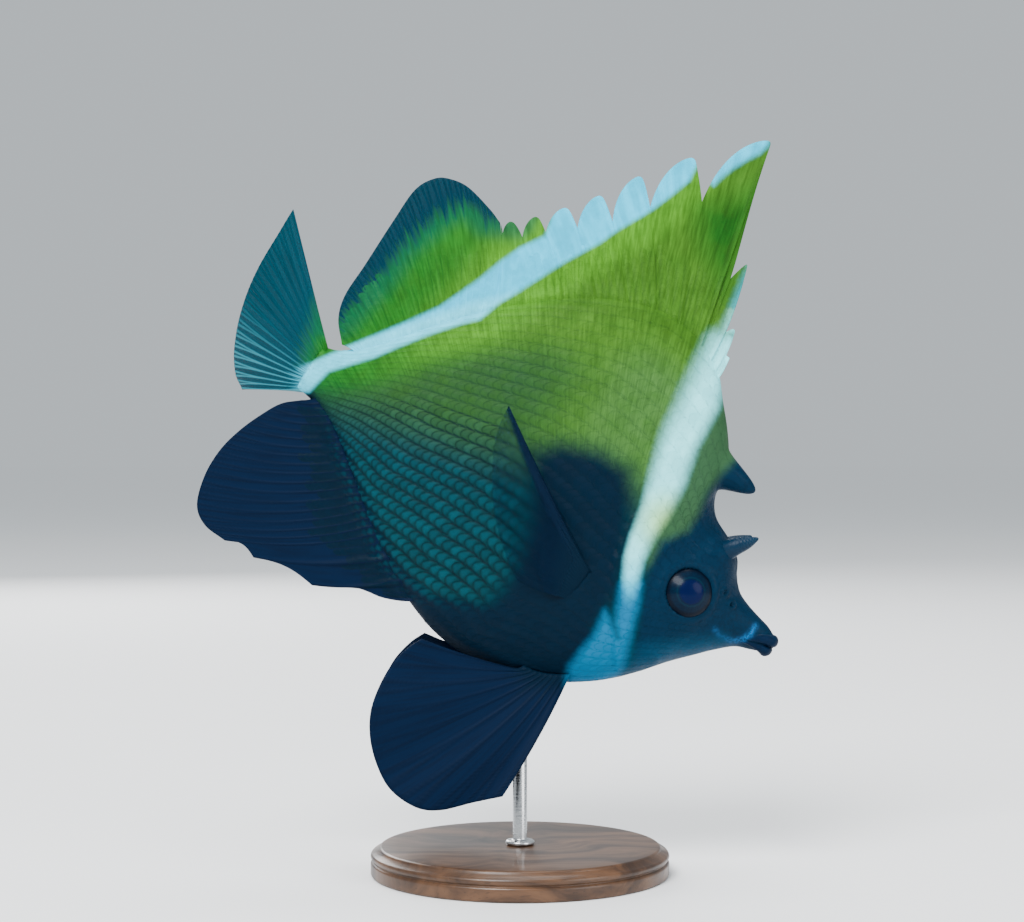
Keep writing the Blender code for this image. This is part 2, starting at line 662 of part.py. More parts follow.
def orbit_rim(name, skin, side):
    """A raised ring on the skin round one eye."""
    axes = eye_frame(skin, side)
    outward = np.array(axes.col[2][:3])
    turn = np.linspace(0, 2 * np.pi, RIM_STEPS, endpoint=False)
    rim = []
    for across, up in zip(np.cos(turn) * RIM_RADIUS, np.sin(turn) * RIM_RADIUS):
        start = axes @ Vector((across, up, EYE_DEPTH * 3))
        rim.append(skin.ray_cast(start, -Vector(outward))[1])
    rim = np.array(rim)
    run = np.roll(rim, -1, axis=0) - np.roll(rim, 1, axis=0)
    run /= np.linalg.norm(run, axis=1)[:, None]
    beside = np.cross(run, outward)
    turn = np.linspace(0, 2 * np.pi, RIM_SIDES, endpoint=False)
    section = np.cos(turn)[None, :, None] * outward + np.sin(turn)[None, :, None] * beside[:, None]
    points = rim[:, None] + RIM_THICKNESS * section
    ring, place = np.meshgrid(np.arange(RIM_STEPS), np.arange(RIM_SIDES), indexing="ij")
    next_ring, next_place = (ring + 1) % RIM_STEPS, (place + 1) % RIM_SIDES
    corners = [(ring, place), (ring, next_place), (next_ring, next_place), (next_ring, place)]
    quads = np.stack([row * RIM_SIDES + column for row, column in corners], -1)
    return as_cutter(mesh_object(name, points.reshape(-1, 3), quads.reshape(-1, 4).tolist()))


def nostril(name, skin, x, z, side, hole):
    """A small ring on the snout, or the pit inside it."""
    place, normal = skin.ray_cast((x, side * FAR, z), (0, -side, 0))[1:3]
    if hole:
        piece = primitive(
            bpy.ops.mesh.primitive_cylinder_add,
            name,
            vertices=8,
            radius=NOSTRIL_RADIUS * 0.75,
            depth=NOSTRIL_DEPTH,
        )
    else:
        piece = primitive(
            bpy.ops.mesh.primitive_torus_add,
            name,
            major_segments=9,
            minor_segments=4,
            major_radius=NOSTRIL_RADIUS * 1.5,
            minor_radius=NOSTRIL_RADIUS * 0.75,
        )
    piece.data.transform(Matrix.Translation(place) @ normal.to_track_quat("Z", "Y").to_matrix().to_4x4())
    return piece


def head_piece(skin):
    """The head with its nape hump, lips, nostrils and eye rims."""
    front = np.concatenate([gill_edge(GAP / 2), [(FAR, -FAR), (FAR, FAR)]])
    head = combine(copy_of(skin, "head"), [prism("head_part", front)], "INTERSECT")
    line = along(HUMP_LINE, np.linspace(0, 1, HUMP_RINGS))
    sizes = along(np.stack([HUMP_WIDTH, HUMP_HEIGHT], -1), np.linspace(0, 1, HUMP_RINGS))
    centre_line = np.stack([line[:, 0], np.zeros(HUMP_RINGS), line[:, 1]], -1)
    added = [tapered_tube("hump", centre_line, sizes[:, 0], sizes[:, 1])]
    for name, lip in (("lip_upper", LIP_UPPER), ("lip_lower", LIP_LOWER)):
        path = both_sides(lip)
        radii = np.concatenate([LIP_RADIUS, LIP_RADIUS[-2::-1]])
        fine = np.linspace(0, len(path) - 1, LIP_RINGS)
        added.append(bevelled_curve(name, spline(path, fine), spline(radii[:, None], fine)[:, 0]))
    removed = []
    for side in (-1, 1):
        added.append(orbit_rim(f"orbit_rim_{side}", skin, side))
        removed.append(eye_ball(f"socket_{side}", skin, GAP, side))
        for k, (x, z) in enumerate(NOSTRILS):
            added.append(nostril(f"nostril_{k}_{side}", skin, x, z, side, hole=False))
            removed.append(nostril(f"nostril_pit_{k}_{side}", skin, x, z, side, hole=True))
    fuse(head, added)
    slit = np.concatenate(
        [MOUTH_SLIT + (0, MOUTH_SLIT_HEIGHT / 2), MOUTH_SLIT[::-1] - (0, MOUTH_SLIT_HEIGHT / 2)]
    )
    removed.append(prism("mouth_slit", slit))
    return combine(head, removed, "DIFFERENCE", solver="MANIFOLD")


def torso_piece(skin):
    """The middle of the body, drilled from below for the stand's rod."""
    behind = gill_edge(-GAP / 2)
    ahead = TAIL_CUT_X + GAP / 2
    outline = np.concatenate([behind, [(ahead, -FAR), (ahead, FAR)]])
    torso = combine(copy_of(skin, "torso"), [prism("torso_part", outline)], "INTERSECT")
    drill = primitive(
        bpy.ops.mesh.primitive_cylinder_add,
        "rod_socket",
        vertices=ROD_SIDES,
        radius=ROD_RADIUS + GAP,
        depth=ROD_TOP_HEIGHT + GAP,
    )
    drill.data.transform(FISH_POSE.inverted() @ Matrix.Translation((0, 0, (ROD_TOP_HEIGHT + GAP) / 2)))
    return combine(torso, [drill], "DIFFERENCE")


def tail_stalk_piece(skin):
    """The narrow stalk that carries the tail fin."""
    edge = TAIL_CUT_X - GAP / 2
    outline = [(edge, -FAR), (edge, FAR), (-FAR, FAR), (-FAR, -FAR)]
    return combine(copy_of(skin, "tail_stalk"), [prism("stalk_part", outline)], "INTERSECT")


def stand_base():
    """A turned round plate with a blind hole for the rod."""
    hole = ROD_RADIUS + GAP
    edge = BASE_EDGE
    profile = [
        (0, ROD_SOCKET_FLOOR),
        (hole, ROD_SOCKET_FLOOR),
        (hole, BASE_THICKNESS),
        (BASE_RADIUS - edge, BASE_THICKNESS),
        (BASE_RADIUS - edge * 0.3, BASE_THICKNESS - edge * 0.3),
        (BASE_RADIUS, BASE_THICKNESS - edge),
        (BASE_RADIUS, edge * 0.5),
        (BASE_RADIUS - edge * 0.5, 0),
        (0, 0),
    ]
    mesh = bpy.data.meshes.new("stand_base")
    mesh.from_pydata([(x, 0, z) for x, z in profile], [(k, k + 1) for k in range(len(profile) - 1)], [])
    base = bpy.data.objects.new("stand_base", mesh)
    PARTS.objects.link(base)
    screw = base.modifiers.new("Turn", "SCREW")
    screw.steps = screw.render_steps = BASE_SIDES
    screw.use_merge_vertices = True
    screw.merge_threshold = mm(0.01)
    screw.use_normal_calculate = True
    return settle(base)


def stand_rod():
    """The round rod from the base up into the belly."""
    low = ROD_SOCKET_FLOOR + GAP
    rod = primitive(
        bpy.ops.mesh.primitive_cylinder_add,
        "stand_rod",
        vertices=ROD_SIDES,
        radius=ROD_RADIUS,
        depth=ROD_TOP_HEIGHT - low,
    )
    rod.data.transform(Matrix.Translation((0, 0, (ROD_TOP_HEIGHT + low) / 2)))
    rod.hide_render = False
    rod.display_type = "TEXTURED"
    CUTTERS.objects.unlink(rod)
    PARTS.objects.link(rod)
    return rod


def horn(clearance):
    """The right horn: a short stout spike that leans forwards over the eye."""
    at = np.linspace(0, len(HORN_LINE) - 1, HORN_RINGS)
    line, radii = spline(HORN_LINE, at), spline(HORN_RADIUS[:, None], at)[:, 0]
    piece = bevelled_curve("horn_shape", line, radii)
    made = copy_of(piece, "horn_right")
    bpy.data.objects.remove(piece)
    return trimmed(made, clearance)


def finish(pieces, name, colour, roughness, metallic=0.0):
    """Gives the pieces one material and smooth shading with sharp edges kept."""
    surface = material(name, colour, roughness, metallic)
    for piece in pieces:
        piece.data.materials.clear()
        piece.data.materials.append(surface)
        piece.data.shade_smooth()
        piece.data.set_sharp_from_angle(angle=math.radians(40))


def main():
    skin = body_skin("body")
    clearance = grown(skin, GAP)
    head = head_piece(skin)
    torso = torso_piece(skin)
    tail_stalk = tail_stalk_piece(skin)
    median = [trimmed(fin, clearance) for fin in (spiny_dorsal(), soft_dorsal(), caudal(), anal())]
    pelvics = [trimmed(pelvic(), clearance)]
    pectorals = [trimmed(pectoral(skin), clearance)]
    horns = [horn(clearance)]
    eyes = []
    for side, name in ((-1, "eye_right"), (1, "eye_left")):
        ball = eye_ball(name + "_shape", skin, 0, side)
        eyes.append(copy_of(ball, name))
        bpy.data.objects.remove(ball)
    for group in (pelvics, pectorals, horns):
        group.append(copy_of(group[0], group[0].name.replace("right", "left"), mirrored=True))
    bpy.data.objects.remove(skin)

    finish([head], "head_skin", (0.035, 0.055, 0.085), 0.45)
    finish([torso], "torso_skin", (0.16, 0.17, 0.06), 0.45)
    finish([tail_stalk], "tail_stalk_skin", (0.55, 0.62, 0.58), 0.45)
    finish(median[:1], "spiny_fin", (0.30, 0.33, 0.10), 0.5)
    finish(median[1:2], "soft_fin", (0.35, 0.42, 0.14), 0.5)
    finish(median[2:3], "caudal_membrane", (0.25, 0.42, 0.40), 0.5)
    finish(median[3:], "anal_fin_skin", (0.015, 0.02, 0.04), 0.5)
    finish(pelvics, "pelvic_fin_skin", (0.012, 0.018, 0.035), 0.5)
    finish(pectorals, "pectoral_membrane", (0.20, 0.28, 0.26), 0.5)
    finish(horns, "horn_bone", (0.20, 0.19, 0.12), 0.4)
    finish(eyes, "eye_glaze", (0.01, 0.012, 0.02), 0.08)

    holder = bpy.data.objects.new("fish_pose", None)
    holder.matrix_world = FISH_POSE
    PARTS.objects.link(holder)
    for piece in [head, torso, tail_stalk, *median, *pelvics, *pectorals, *horns, *eyes]:
        piece.parent = holder
    for helper in CUTTERS.objects:
        helper.parent = holder

    finish([stand_base()], "stand_wood", (0.05, 0.035, 0.025), 0.35)
    finish([stand_rod()], "stand_steel", (0.55, 0.56, 0.57), 0.3, 1.0)


main()
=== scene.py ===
"""Looks of a life-size horned bannerfish on its display stand.

Shapes are worked out in the fish's own frame, in millimetres: x runs to the snout, y to its left and z to
its back, with zero at the base of the tail fin. in_world() pitches them nose down over the stand.
"""

import math

import bpy
import numpy as np
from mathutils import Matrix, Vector


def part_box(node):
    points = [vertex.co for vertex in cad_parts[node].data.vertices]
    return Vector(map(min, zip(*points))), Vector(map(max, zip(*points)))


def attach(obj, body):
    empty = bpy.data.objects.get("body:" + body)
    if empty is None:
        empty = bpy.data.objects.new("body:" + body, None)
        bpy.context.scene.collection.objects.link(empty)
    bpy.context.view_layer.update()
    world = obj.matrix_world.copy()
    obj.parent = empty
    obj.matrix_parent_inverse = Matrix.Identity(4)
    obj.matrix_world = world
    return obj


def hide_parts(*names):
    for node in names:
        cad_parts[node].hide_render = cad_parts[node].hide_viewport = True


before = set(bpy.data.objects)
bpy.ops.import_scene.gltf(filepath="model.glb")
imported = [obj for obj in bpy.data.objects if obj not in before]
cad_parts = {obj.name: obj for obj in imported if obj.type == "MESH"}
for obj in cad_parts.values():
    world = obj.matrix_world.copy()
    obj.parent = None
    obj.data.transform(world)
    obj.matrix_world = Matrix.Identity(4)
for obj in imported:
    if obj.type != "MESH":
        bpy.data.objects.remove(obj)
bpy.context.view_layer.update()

MM = 0.001

# Pose of the fish over the stand
PITCH_DOWN = math.radians(28.87)
TAIL_BASE = np.array([-59.2, 0, 139.5])
COSINE, SINE = math.cos(PITCH_DOWN), math.sin(PITCH_DOWN)
TURN = np.array([(COSINE, 0, SINE), (0, 1, 0), (-SINE, 0, COSINE)])

# Camera at the photograph's angle, level and square to the fish's right side
CAMERA_DISTANCE = 0.600
CAMERA_SIDEWAYS = -0.00225
CAMERA_HEIGHT = 0.1161
CAMERA_LENS = 74.84
CAMERA_SENSOR = 36.0

# Fish frame from the photograph: the pixel of the tail fin's base, and the size of a pixel in mm
TAIL_BASE_PX = np.array([310, 378])
PIXEL_MM = 0.28185

# Body stations from snout to tail: back x and z, belly x and z, half width
STATIONS = np.array([
    (149.4, 0.0, 148.8, -6.4, 2.6),
    (147.0, 1.3, 145.6, -7.4, 3.5),
    (143.6, 2.4, 141.4, -8.8, 4.6),
    (139.3, 3.9, 136.8, -12.4, 6.2),
    (135.5, 5.9, 132.2, -16.7, 8.0),
    (132.6, 9.4, 127.2, -21.4, 9.8),
    (130.2, 13.9, 121.3, -27.6, 11.5),
    (125.6, 17.5, 114.6, -34.0, 12.8),
    (119.6, 21.0, 108.0, -38.6, 13.6),
    (116.6, 25.6, 101.0, -42.3, 14.0),
    (115.6, 31.6, 94.0, -44.9, 14.1),
    (114.2, 37.8, 87.0, -46.2, 14.0),
    (110.5, 44.0, 80.0, -47.1, 13.8),
    (105.4, 50.6, 72.0, -47.2, 13.3),
    (99.2, 58.2, 64.0, -45.6, 12.7),
    (90.0, 63.8, 55.0, -42.0, 11.9),
    (78.5, 65.4, 46.0, -37.0, 10.9),
    (66.0, 62.4, 38.0, -31.4, 9.8),
    (54.0, 56.6, 30.5, -25.4, 8.7),
    (42.0, 48.2, 23.0, -19.0, 7.5),
    (30.0, 37.6, 16.0, -13.2, 6.3),
    (19.0, 26.0, 10.0, -8.8, 5.2),
    (10.0, 16.4, 5.0, -6.2, 4.3),
    (4.0, 11.4, 1.5, -5.0, 3.6),
    (-1.0, 9.8, -2.0, -4.5, 3.0),
])

# The skin's section, ends and grid, and the depth at which it lies in the solids
SECTION_POWER = 1.12
NOSE_LENGTH = 1.2
TAIL_END_LENGTH = 0.6
SKIN_ROWS = 361
SKIN_TURNS = 240
CAP_ROWS = 10
SKIN_INSET = 0.3

# Steps to each point of a drawn curve, a distance past every form, and the sides of the fish
CURVE_STEPS = 24
FAR = 99.0
SIDES = ((-1, "right"), (1, "left"))

# Where the head and the tail stalk part from the torso in the solids
GILL_LINE = np.array([
    (109, 57), (104.6, 45), (100.6, 32), (98.2, 20), (97, 8), (98.4, -4), (103, -15), (109.5, -23.5),
    (114.5, -31), (119, -41),
])
TAIL_CUT_X = 9.0

# Nape hump
HUMP_MIDDLE_Z = 33.6
HUMP_REACH = np.array([5.6, 6.2])
HUMP_PUSH = np.array([10.4, 0, -0.9])
HUMP_X = (100, 106)

# Horns: middle line and radius from foot to tip, and how the line and the skin swell at the foot
HORN_LINE = np.array([(124.2, -5.0, 11.5), (126.8, -6.6, 15.6), (129.6, -7.7, 18.8), (131.6, -8.4, 21.3)])
HORN_RADIUS = np.array([3.4, 2.5, 1.6, 0.35])
HORN_SWELL = 1.06
HORN_IN, HORN_FOOT_IN, HORN_FOOT_KNOTS = 0.3, 1.8, 1.2
HORN_BLUNT_FROM = 2.85
HORN_FOOT_HEIGHT, HORN_FOOT_REACH = 2.3, 7.0
HORN_ROWS, HORN_TURNS = 90, 48

# Eyes, and the socket with its rim, from the eye's axis outwards
EYE_PLACE = np.array([121.6, -1.0])
EYE_RADIUS = 7.6
EYE_DEPTH = 4.7
EYE_SUNK = 2.9
EYE_BACK = -2
EYE_ROWS, EYE_TURNS = 60, 96
EYE_SPOKES = 17
EYE_REAR_MARK = 9.0
CORNEA_HEIGHT, CORNEA_ANGLE = 0.55, 0.62
RIM_RADIUS = 7.9
RIM_HEIGHT, RIM_WIDTH = 0.42, 1.2
SOCKET_DEPTH, SOCKET_EDGE = 3.4, (6.5, 6.0)
EYE_SURROUND = (9.0, 7.0)

# Snout, lips and nostrils
LIP_UPPER = np.array([(143.0, -4.0, -4.6), (146.4, -3.5, -3.0), (149.2, -2.1, -2.3), (150.4, 0, -2.1)])
LIP_LOWER = np.array([(143.0, -3.9, -6.0), (146.2, -3.4, -5.9), (148.8, -2.0, -5.4), (149.8, 0, -5.1)])
LIP_RADIUS = np.array([0.7, 1.25, 1.6, 1.75])
SNOUT_X = 136
SNOUT_INK_X, SNOUT_INK, LIP_INK_HEIGHT = (136, 144), 0.8, 0.8
LIP_STEPS = 40
LIP_HEIGHT, LIP_FOOT, LIP_POWER = 0.95, 1.2, 0.75
SLIT_DEPTH, SLIT_WIDTH = 0.9, 0.36
MOUTH_LINE = np.array([(142.6, -4.3, -5.6), (146.2, -3.9, -4.5), (149.2, -2.4, -3.8), (151.0, 0, -3.6)])
NOSTRILS = ((134.3, 1.6), (131.0, 3.6))
NOSTRIL_RADIUS, NOSTRIL_RIM, NOSTRIL_RIM_WIDTH = 0.95, 0.38, 0.38
NOSTRIL_DEPTH, NOSTRIL_WIDTH, NOSTRIL_OUT = 0.7, 0.5, -0.5

# Gill cover: its free edge steps up and falls off forwards, and the cheek has a low ridge
OPERCLE = np.array([(98.6, 16), (97, 8), (98.4, -4), (103, -15), (109.5, -23.5), (114.5, -31)])
OPERCLE_SLOPE = 0.8
OPERCLE_STEP, OPERCLE_EDGE, OPERCLE_FALL = 0.6, (0, 0.9), 6
OPERCLE_LOW_Z, OPERCLE_HIGH_Z = (-34, -26), (17, 9)
PREOPERCLE = np.array([(111.5, 12), (108.6, 3), (109.6, -8), (114.5, -17), (123.5, -21.5)])
PREOPERCLE_HEIGHT, PREOPERCLE_WIDTH, PREOPERCLE_OUT = 0.3, 1.0, -4

# Spiny part of the back fin: a leaf of membrane runs from each tip to the notch behind it
SPINE_TIPS = np.array([
    (101.2, 61.8), (98.4, 70.2), (92.5, 88.1), (81.8, 121.3), (65, 106.8), (54.3, 95.1), (47.1, 84.9),
    (40.3, 77.2), (34.1, 71), (28.5, 66.4), (25.6, 64.4),
])
SPINE_NOTCHES = np.array([
    (99.6, 62.2), (96.0, 67.0), (89.3, 77.6), (72.8, 96.8), (61.1, 87.1), (53.7, 79.2), (46, 72.5),
    (38.5, 67.6), (33.3, 63.6), (27.9, 61.9),
])
SPINE_ROOTS_X = np.concatenate([[100.6, 98.9, 96.4], np.linspace(92.3, 36.4, 8)])
NOTCH_STEP = 0.9
LEAF_FALL_POWER = 1.25
LEAF_BULGES = (0.3, 0.3, 0.12, 0.64, 0.64, 0.64, 0.64, 0.64, 0.64, 0.64)
LEAF_FRONT_BOWS = (0.1, 0.1, 0.0, 0.06, 0.2, 0.15, 0.2, 0.2, 0.2, 0.2)
LEAF_POINTS = 160
LEAF_STEP = 0.5
LEAF_ROUNDING = 11
LONGEST_SPINE = 58.0
SPINE_BOW = -0.04
STRAIGHTENING_SHARE = 0.3
ROOT_SINK = 2.6
MEMBRANE_HALF = 0.26
SPINE_HALF = 0.95
RAY_HALF = 0.5

# All fins: grid, fillet on the body, and how spines, membrane and rays thin out from the root
FIN_ROWS, PAIRED_FIN_ROWS = 48, 44
FILLET_SIZE, FILLET_REACH = 1.3, 2.4
SHORT_SPINE_STRENGTH, SPINE_WIDTH, SPINE_NARROWING = 0.45, 1.05, (1.05, 0.3)
MEMBRANE_THINNING, RAY_THINNING, LEAF_THINNING = (1.1, 0.5), (1.05, 0.25), (1.15, 0.5)
DORSAL_SPINE_THINS, ANAL_SPINE_THINS, PELVIC_SPINE_THINS = 0.6, 0.7, 0.8
ALL_PAINTED, UNPAINTED = 50.0, -20.0
ROOT_RISE = 0.7

# Soft rays, in ray spacings: half width at root and margin, how far the forked parts drift apart, and where
RAY_WIDTH = (0.155, 0.070)
FORK, FORK_REACH = 0.25, (0.42, 1.15)
TWIG, TWIG_REACH = 0.10, (0.74, 1.3)

# The other fins: rays, bow, foot on the body, painted depth, root, margin and how each is bent
SOFT_DORSAL_RAYS, SOFT_DORSAL_RAY_STEPS = 24, 11
SOFT_DORSAL_ROOT_X = (35.8, 7.6)
SOFT_DORSAL_TUCK = 0.8
SOFT_DORSAL_BOW = -0.05
SOFT_DORSAL_MARGIN = np.array([
    (25.0, 64.2), (20.8, 66.2), (13, 68.6), (7.5, 68.2), (3.6, 66.2), (0.3, 60.7), (-0.8, 50),
    (-1.8, 35.4), (-2.6, 25.2), (-1.0, 18.4), (3.4, 12.6),
])
ANAL_SPINES, ANAL_SPINE_STEPS = 3, 16
ANAL_RAYS, ANAL_RAY_STEPS = 18, 11
ANAL_SPINE_WIDTH = (1.25, 0.45)
ANAL_NOTCH = 1.6
ANAL_BOW = 0.05
ANAL_ROOT_X = (57.0, 4.2)
ANAL_SPINE_SHARE = 0.12
ANAL_SPINE_TIPS = np.array([(46.6, -44.6), (28.7, -50.9), (10.5, -52.0)])
ANAL_MARGIN = np.array([
    (1.1, -51.7), (-5.9, -50.6), (-10.6, -46.7), (-12.7, -38.5), (-12.4, -30), (-10.2, -22.4),
    (-7.0, -15.6), (-3.6, -10.2), (1.0, -6.6),
])
CAUDAL_RAYS, CAUDAL_RAY_STEPS = 17, 14
CAUDAL_FOOT, CAUDAL_FOOT_REACH = 0.9, 1 / 6
CAUDAL_PAINT, CAUDAL_LENGTH = (0.34, 0.0), 30
# Painted highlights on the lower lobe's rays: strength, and the share of the width over which they come in
CAUDAL_RAY_HIGHLIGHT, CAUDAL_RAY_HIGHLIGHT_SHARE = 0.8, (0.4, 0.8)
CAUDAL_ROOT = np.array([(0.6, 9.4), (1.2, 6.0), (1.4, 2.6), (1.0, -0.8), (0.2, -4.0)])
CAUDAL_MARGIN = np.array([
    (-27.5, 39.6), (-28.2, 30.6), (-29.9, 20.4), (-31.6, 10.8), (-33.2, 1.2), (-33.6, -6.8),
    (-31.4, -13.2), (-26.2, -16.8),
])
CAUDAL_SWING = (math.radians(4), math.radians(50))
CAUDAL_LEAN_AT_ROOT = 0.55
CAUDAL_LEAN_GAIN = 0.75
PELVIC_RAYS, PELVIC_RAY_STEPS = 9, 20
PELVIC_SPINE_WIDTH = 0.35
PELVIC_BOW = 0.02
PELVIC_FOOT, PELVIC_FOOT_REACH = 1.2, 0.07
PELVIC_RIPPLE, PELVIC_WAVES = 0.7, 2.5
PELVIC_PAINT, PELVIC_LENGTH = 0.1, 30
PELVIC_ROOT = np.array([(104.2, -37.6), (100.5, -39.6), (96.5, -41.4), (92.5, -42.6)])
PELVIC_MARGIN = np.array([
    (103.6, -75.4), (97.0, -81.0), (90.3, -86.6), (84, -89.0), (75.6, -88.2), (69.0, -84.2), (63.4, -78),
    (59.9, -70.4), (59.0, -60.5), (60.6, -53), (63.0, -48.2),
])
PELVIC_ROOT_OUT = 4.6
PELVIC_SPLAY = 0.20
PECTORAL_RAYS, PECTORAL_RAY_STEPS = 15, 13
PECTORAL_EDGE, PECTORAL_EDGE_WIDTH = (0.3, 0.09), 0.5
PECTORAL_BOW = 0.01
PECTORAL_FOOT, PECTORAL_FOOT_REACH = 0.6, 0.08
PECTORAL_SMOOTHING, PECTORAL_SMOOTH_REACH = 0.9, 0.25
PECTORAL_RIPPLE = 0.25
PECTORAL_PAINT, PECTORAL_LENGTH = 0.24, 18
PECTORAL_ROOT = np.array([(94.6, -9.2), (94.2, -12.4), (93.4, -15.8), (92.2, -19.0)])
PECTORAL_MARGIN = np.array([
    (53.2, 19.6), (53.6, 13), (56.2, 5.5), (60.4, -2.5), (66.0, -10.2), (72.4, -16.6), (78.6, -21.2),
])
PECTORAL_STAND_OFF, PECTORAL_LYING_BACK = 0.24, 0.25
PECTORAL_SINK = 0.9
PECTORAL_RISE = 1.1
PECTORAL_RISE_REACH = 2.2
PECTORAL_LEAD, LEAD_NARROWING, LEAD_EDGE = 0.2, 0.85, (-0.04, 0.06)
LEAD_DENSITY, BEHIND_LEAD = 0.88, 0.3

# Scales that climb each fin: their height along the root, the distance between their rows, and their lift
SHEATHS = {
    "dorsal_fin_spiny": ((12, 20, 18, 16, 14, 12), 2.1, 0.25),
    "dorsal_fin_soft": ((16, 20, 22, 20, 16, 8), 1.6, 0.3),
    "anal_fin": ((5, 12, 16, 14, 10, 6), 2.6, 0.3),
}
SHEATH_WAVES = ((1.6, 2.4), (0.9, 0.7))
SHEATH_LIMIT = 0.8
SHEATH_FADE = (-1, 3)

# The front band: pixel, then its half width and its fades to the fore and the rear in mm, and its strength
FRONT_BAND_PX = np.array([
    (723, 350, 4.4, 6.0, 11.0, 1), (700, 400, 4.9, 6.5, 11.0, 1), (678, 440, 4.5, 6.5, 9.0, 1),
    (664, 480, 4.4, 6.5, 6.5, 1), (652, 510, 3.6, 6.0, 4.5, 1), (638, 536, 2.8, 5.5, 3.6, 1),
    (631, 556, 2.5, 4.5, 3.4, 1), (628, 576, 2.4, 4.0, 3.4, 0.85), (627, 590, 2.4, 3.5, 3.4, 0.5),
    (625, 605, 2.3, 3.5, 3.4, 0.2), (620, 636, 3.0, 3.5, 3.4, 0), (606, 672, 6.0, 3.5, 3.4, 0),
    (585, 700, 8.0, 3.5, 3.4, 0),
])

# The painted highlight over the mouth, light reflected off the lips: pixel and strength
MOUTH_HIGHLIGHT_PX = np.array([
    (712, 627, 0.2), (719, 635, 0.15), (731, 640, 0.35), (742, 638, 0.6), (749, 632, 0.7),
    (754, 625, 0.4),
])
MOUTH_HIGHLIGHT_WIDTH = 0.85

# Outlines of the other markings and of painted shade, in the photograph's pixels
REAR_BAND_PX = np.array([
    (270, 372), (315, 362), (345, 348), (400, 325), (440, 307), (480, 279), (500, 262), (520, 248),
    (545, 236), (556, 205), (600, 160), (650, 130), (706, 140), (697, 165), (690, 180), (672, 195),
    (652, 210), (615, 232), (600, 243), (560, 265), (520, 291), (500, 303), (480, 320), (460, 325),
    (430, 335), (400, 347), (375, 358), (330, 372), (310, 392), (285, 396),
])
LEAF_STRIP_PX = np.array([
    (774, 132), (769, 146), (760, 154), (746, 161), (733, 169), (722, 178), (714, 186), (704, 180),
    (722, 150), (745, 126),
])
# Painted shadow on the third leaf of the spiny fin, where it lies behind the front edge of the tallest leaf
LEAF_SHADOW_PX = np.array([
    (700, 207), (716, 203), (736, 200), (760, 186), (755, 215), (746, 240), (737, 262), (724, 294),
    (714, 270), (703, 248), (698, 225),
])
THIRD_LEAF_PX = np.array([(753, 258), (741, 282), (731, 306), (716, 338), (772, 335), (772, 258)])
# The white breast, coloured as white in painted shade
BREAST_PX = np.array([
    (603, 607), (611, 622), (616, 634), (613, 622), (615, 603), (618, 582), (638, 580), (635, 604),
    (630, 624), (627, 642), (623, 664), (612, 690), (590, 704), (568, 700), (565, 684), (568, 664),
    (579, 648), (592, 632),
])
CHIN_PX = np.array([(640, 640), (690, 636), (722, 634), (742, 652), (720, 670), (640, 690), (600, 690)])
FACE_PX = np.array([
    (740, 455), (720, 474), (705, 493), (697, 512), (685, 530), (658, 540), (643, 570), (636, 610),
    (632, 640), (640, 700), (860, 700), (860, 440),
])
PATCH_PX = np.array([
    (528, 452), (560, 440), (600, 448), (630, 468), (634, 500), (628, 545), (622, 590), (606, 616),
    (582, 655), (545, 700), (480, 700), (440, 640), (500, 585), (530, 520),
])
SOFT_GOLD_PX = np.array([
    (300, 350), (345, 318), (360, 300), (375, 285), (390, 265), (400, 250), (410, 240), (425, 228),
    (440, 215), (455, 207), (465, 205), (475, 210), (485, 220), (520, 225), (600, 250), (540, 330),
    (420, 380),
])
# Outside this lit outline the lower rear body and belly are darkened: dark pigment with painted shade
LIT_PX = np.array([
    (200, 330), (316, 392), (346, 440), (372, 505), (400, 562), (430, 592), (500, 602), (560, 560),
    (600, 640), (560, 720), (820, 760), (900, 300), (800, 60), (300, 100),
])
YELLOW_TINT_PX = np.array([(664, 522)])
YELLOW_TINT_REACH = 12.0
STREAKS_MEET_PX = np.array([(560, 753)])
NET_PX = np.array([
    (328, 396), (420, 400), (515, 420), (528, 470), (520, 560), (480, 600), (425, 594), (385, 560),
    (346, 470),
])

# Each outline's softness in mm, and the strengths of the weaker ones
REAR_BAND_SOFT, STRIP_SOFT, STRIP_STRENGTH = 2.6, 3.0, 0.85
THIRD_LEAF_SOFT, THIRD_LEAF_STRENGTH = 6.0, 0.7
LEAF_SHADOW_SOFT, LEAF_SHADOW_STRENGTH = 9.0, 0.85
PATCH_SOFT, NET_SOFT = 12.0, 9.0
FACE_SOFT, CHIN_SOFT, BREAST_SOFT = 7.0, 9.0, 5.0

# Places in mm between which a marking or painted shade fades in: along x, up z, under the back, or from a
# band or outline
NAPE_FROM_BAND, NAPE_Z = (-2.4, 5.6), (-6, 6)
FRONT_COOL, COOL_KNOT, FRONT_COOL_FROM = (0.2, 0.95), (5.5, 8.0), -12
REAR_COOL, COOL_OVER_BACK = (0.75, 1.0), (0, -6)
SUN_FROM_BAND, SUN_X = (-14, 0), (8, 38)
LOW_UNDER_BACK, LOW_FADE_X, LOW_FADE = (6, 28), (50, 75), 0.65
DUSTY_X, DUSTY_UNDER_BACK = (60, 88), (2, 22)
# Painted shade in the crease a little under the back line, where the back fins leave the body
CREASE_SHADE_DEPTH, CREASE_SHADE_WIDTH, CREASE_SHADE_X = 4.2, 2.8, (24, 34)
TEAL_FROM_GOLD, TEAL_OVER_BACK, TEAL_X = (9, 0), (0, -4), (38, 32)
LEAF_Z, REAR_X = (62, 100), (52, 8)
DEEP_SLOPE, DEEP_Z = 0.22, (10, -20)
# Painted shade comes in outside the lit outline
SHADE_FROM_LIT = (3.5, -3.5)

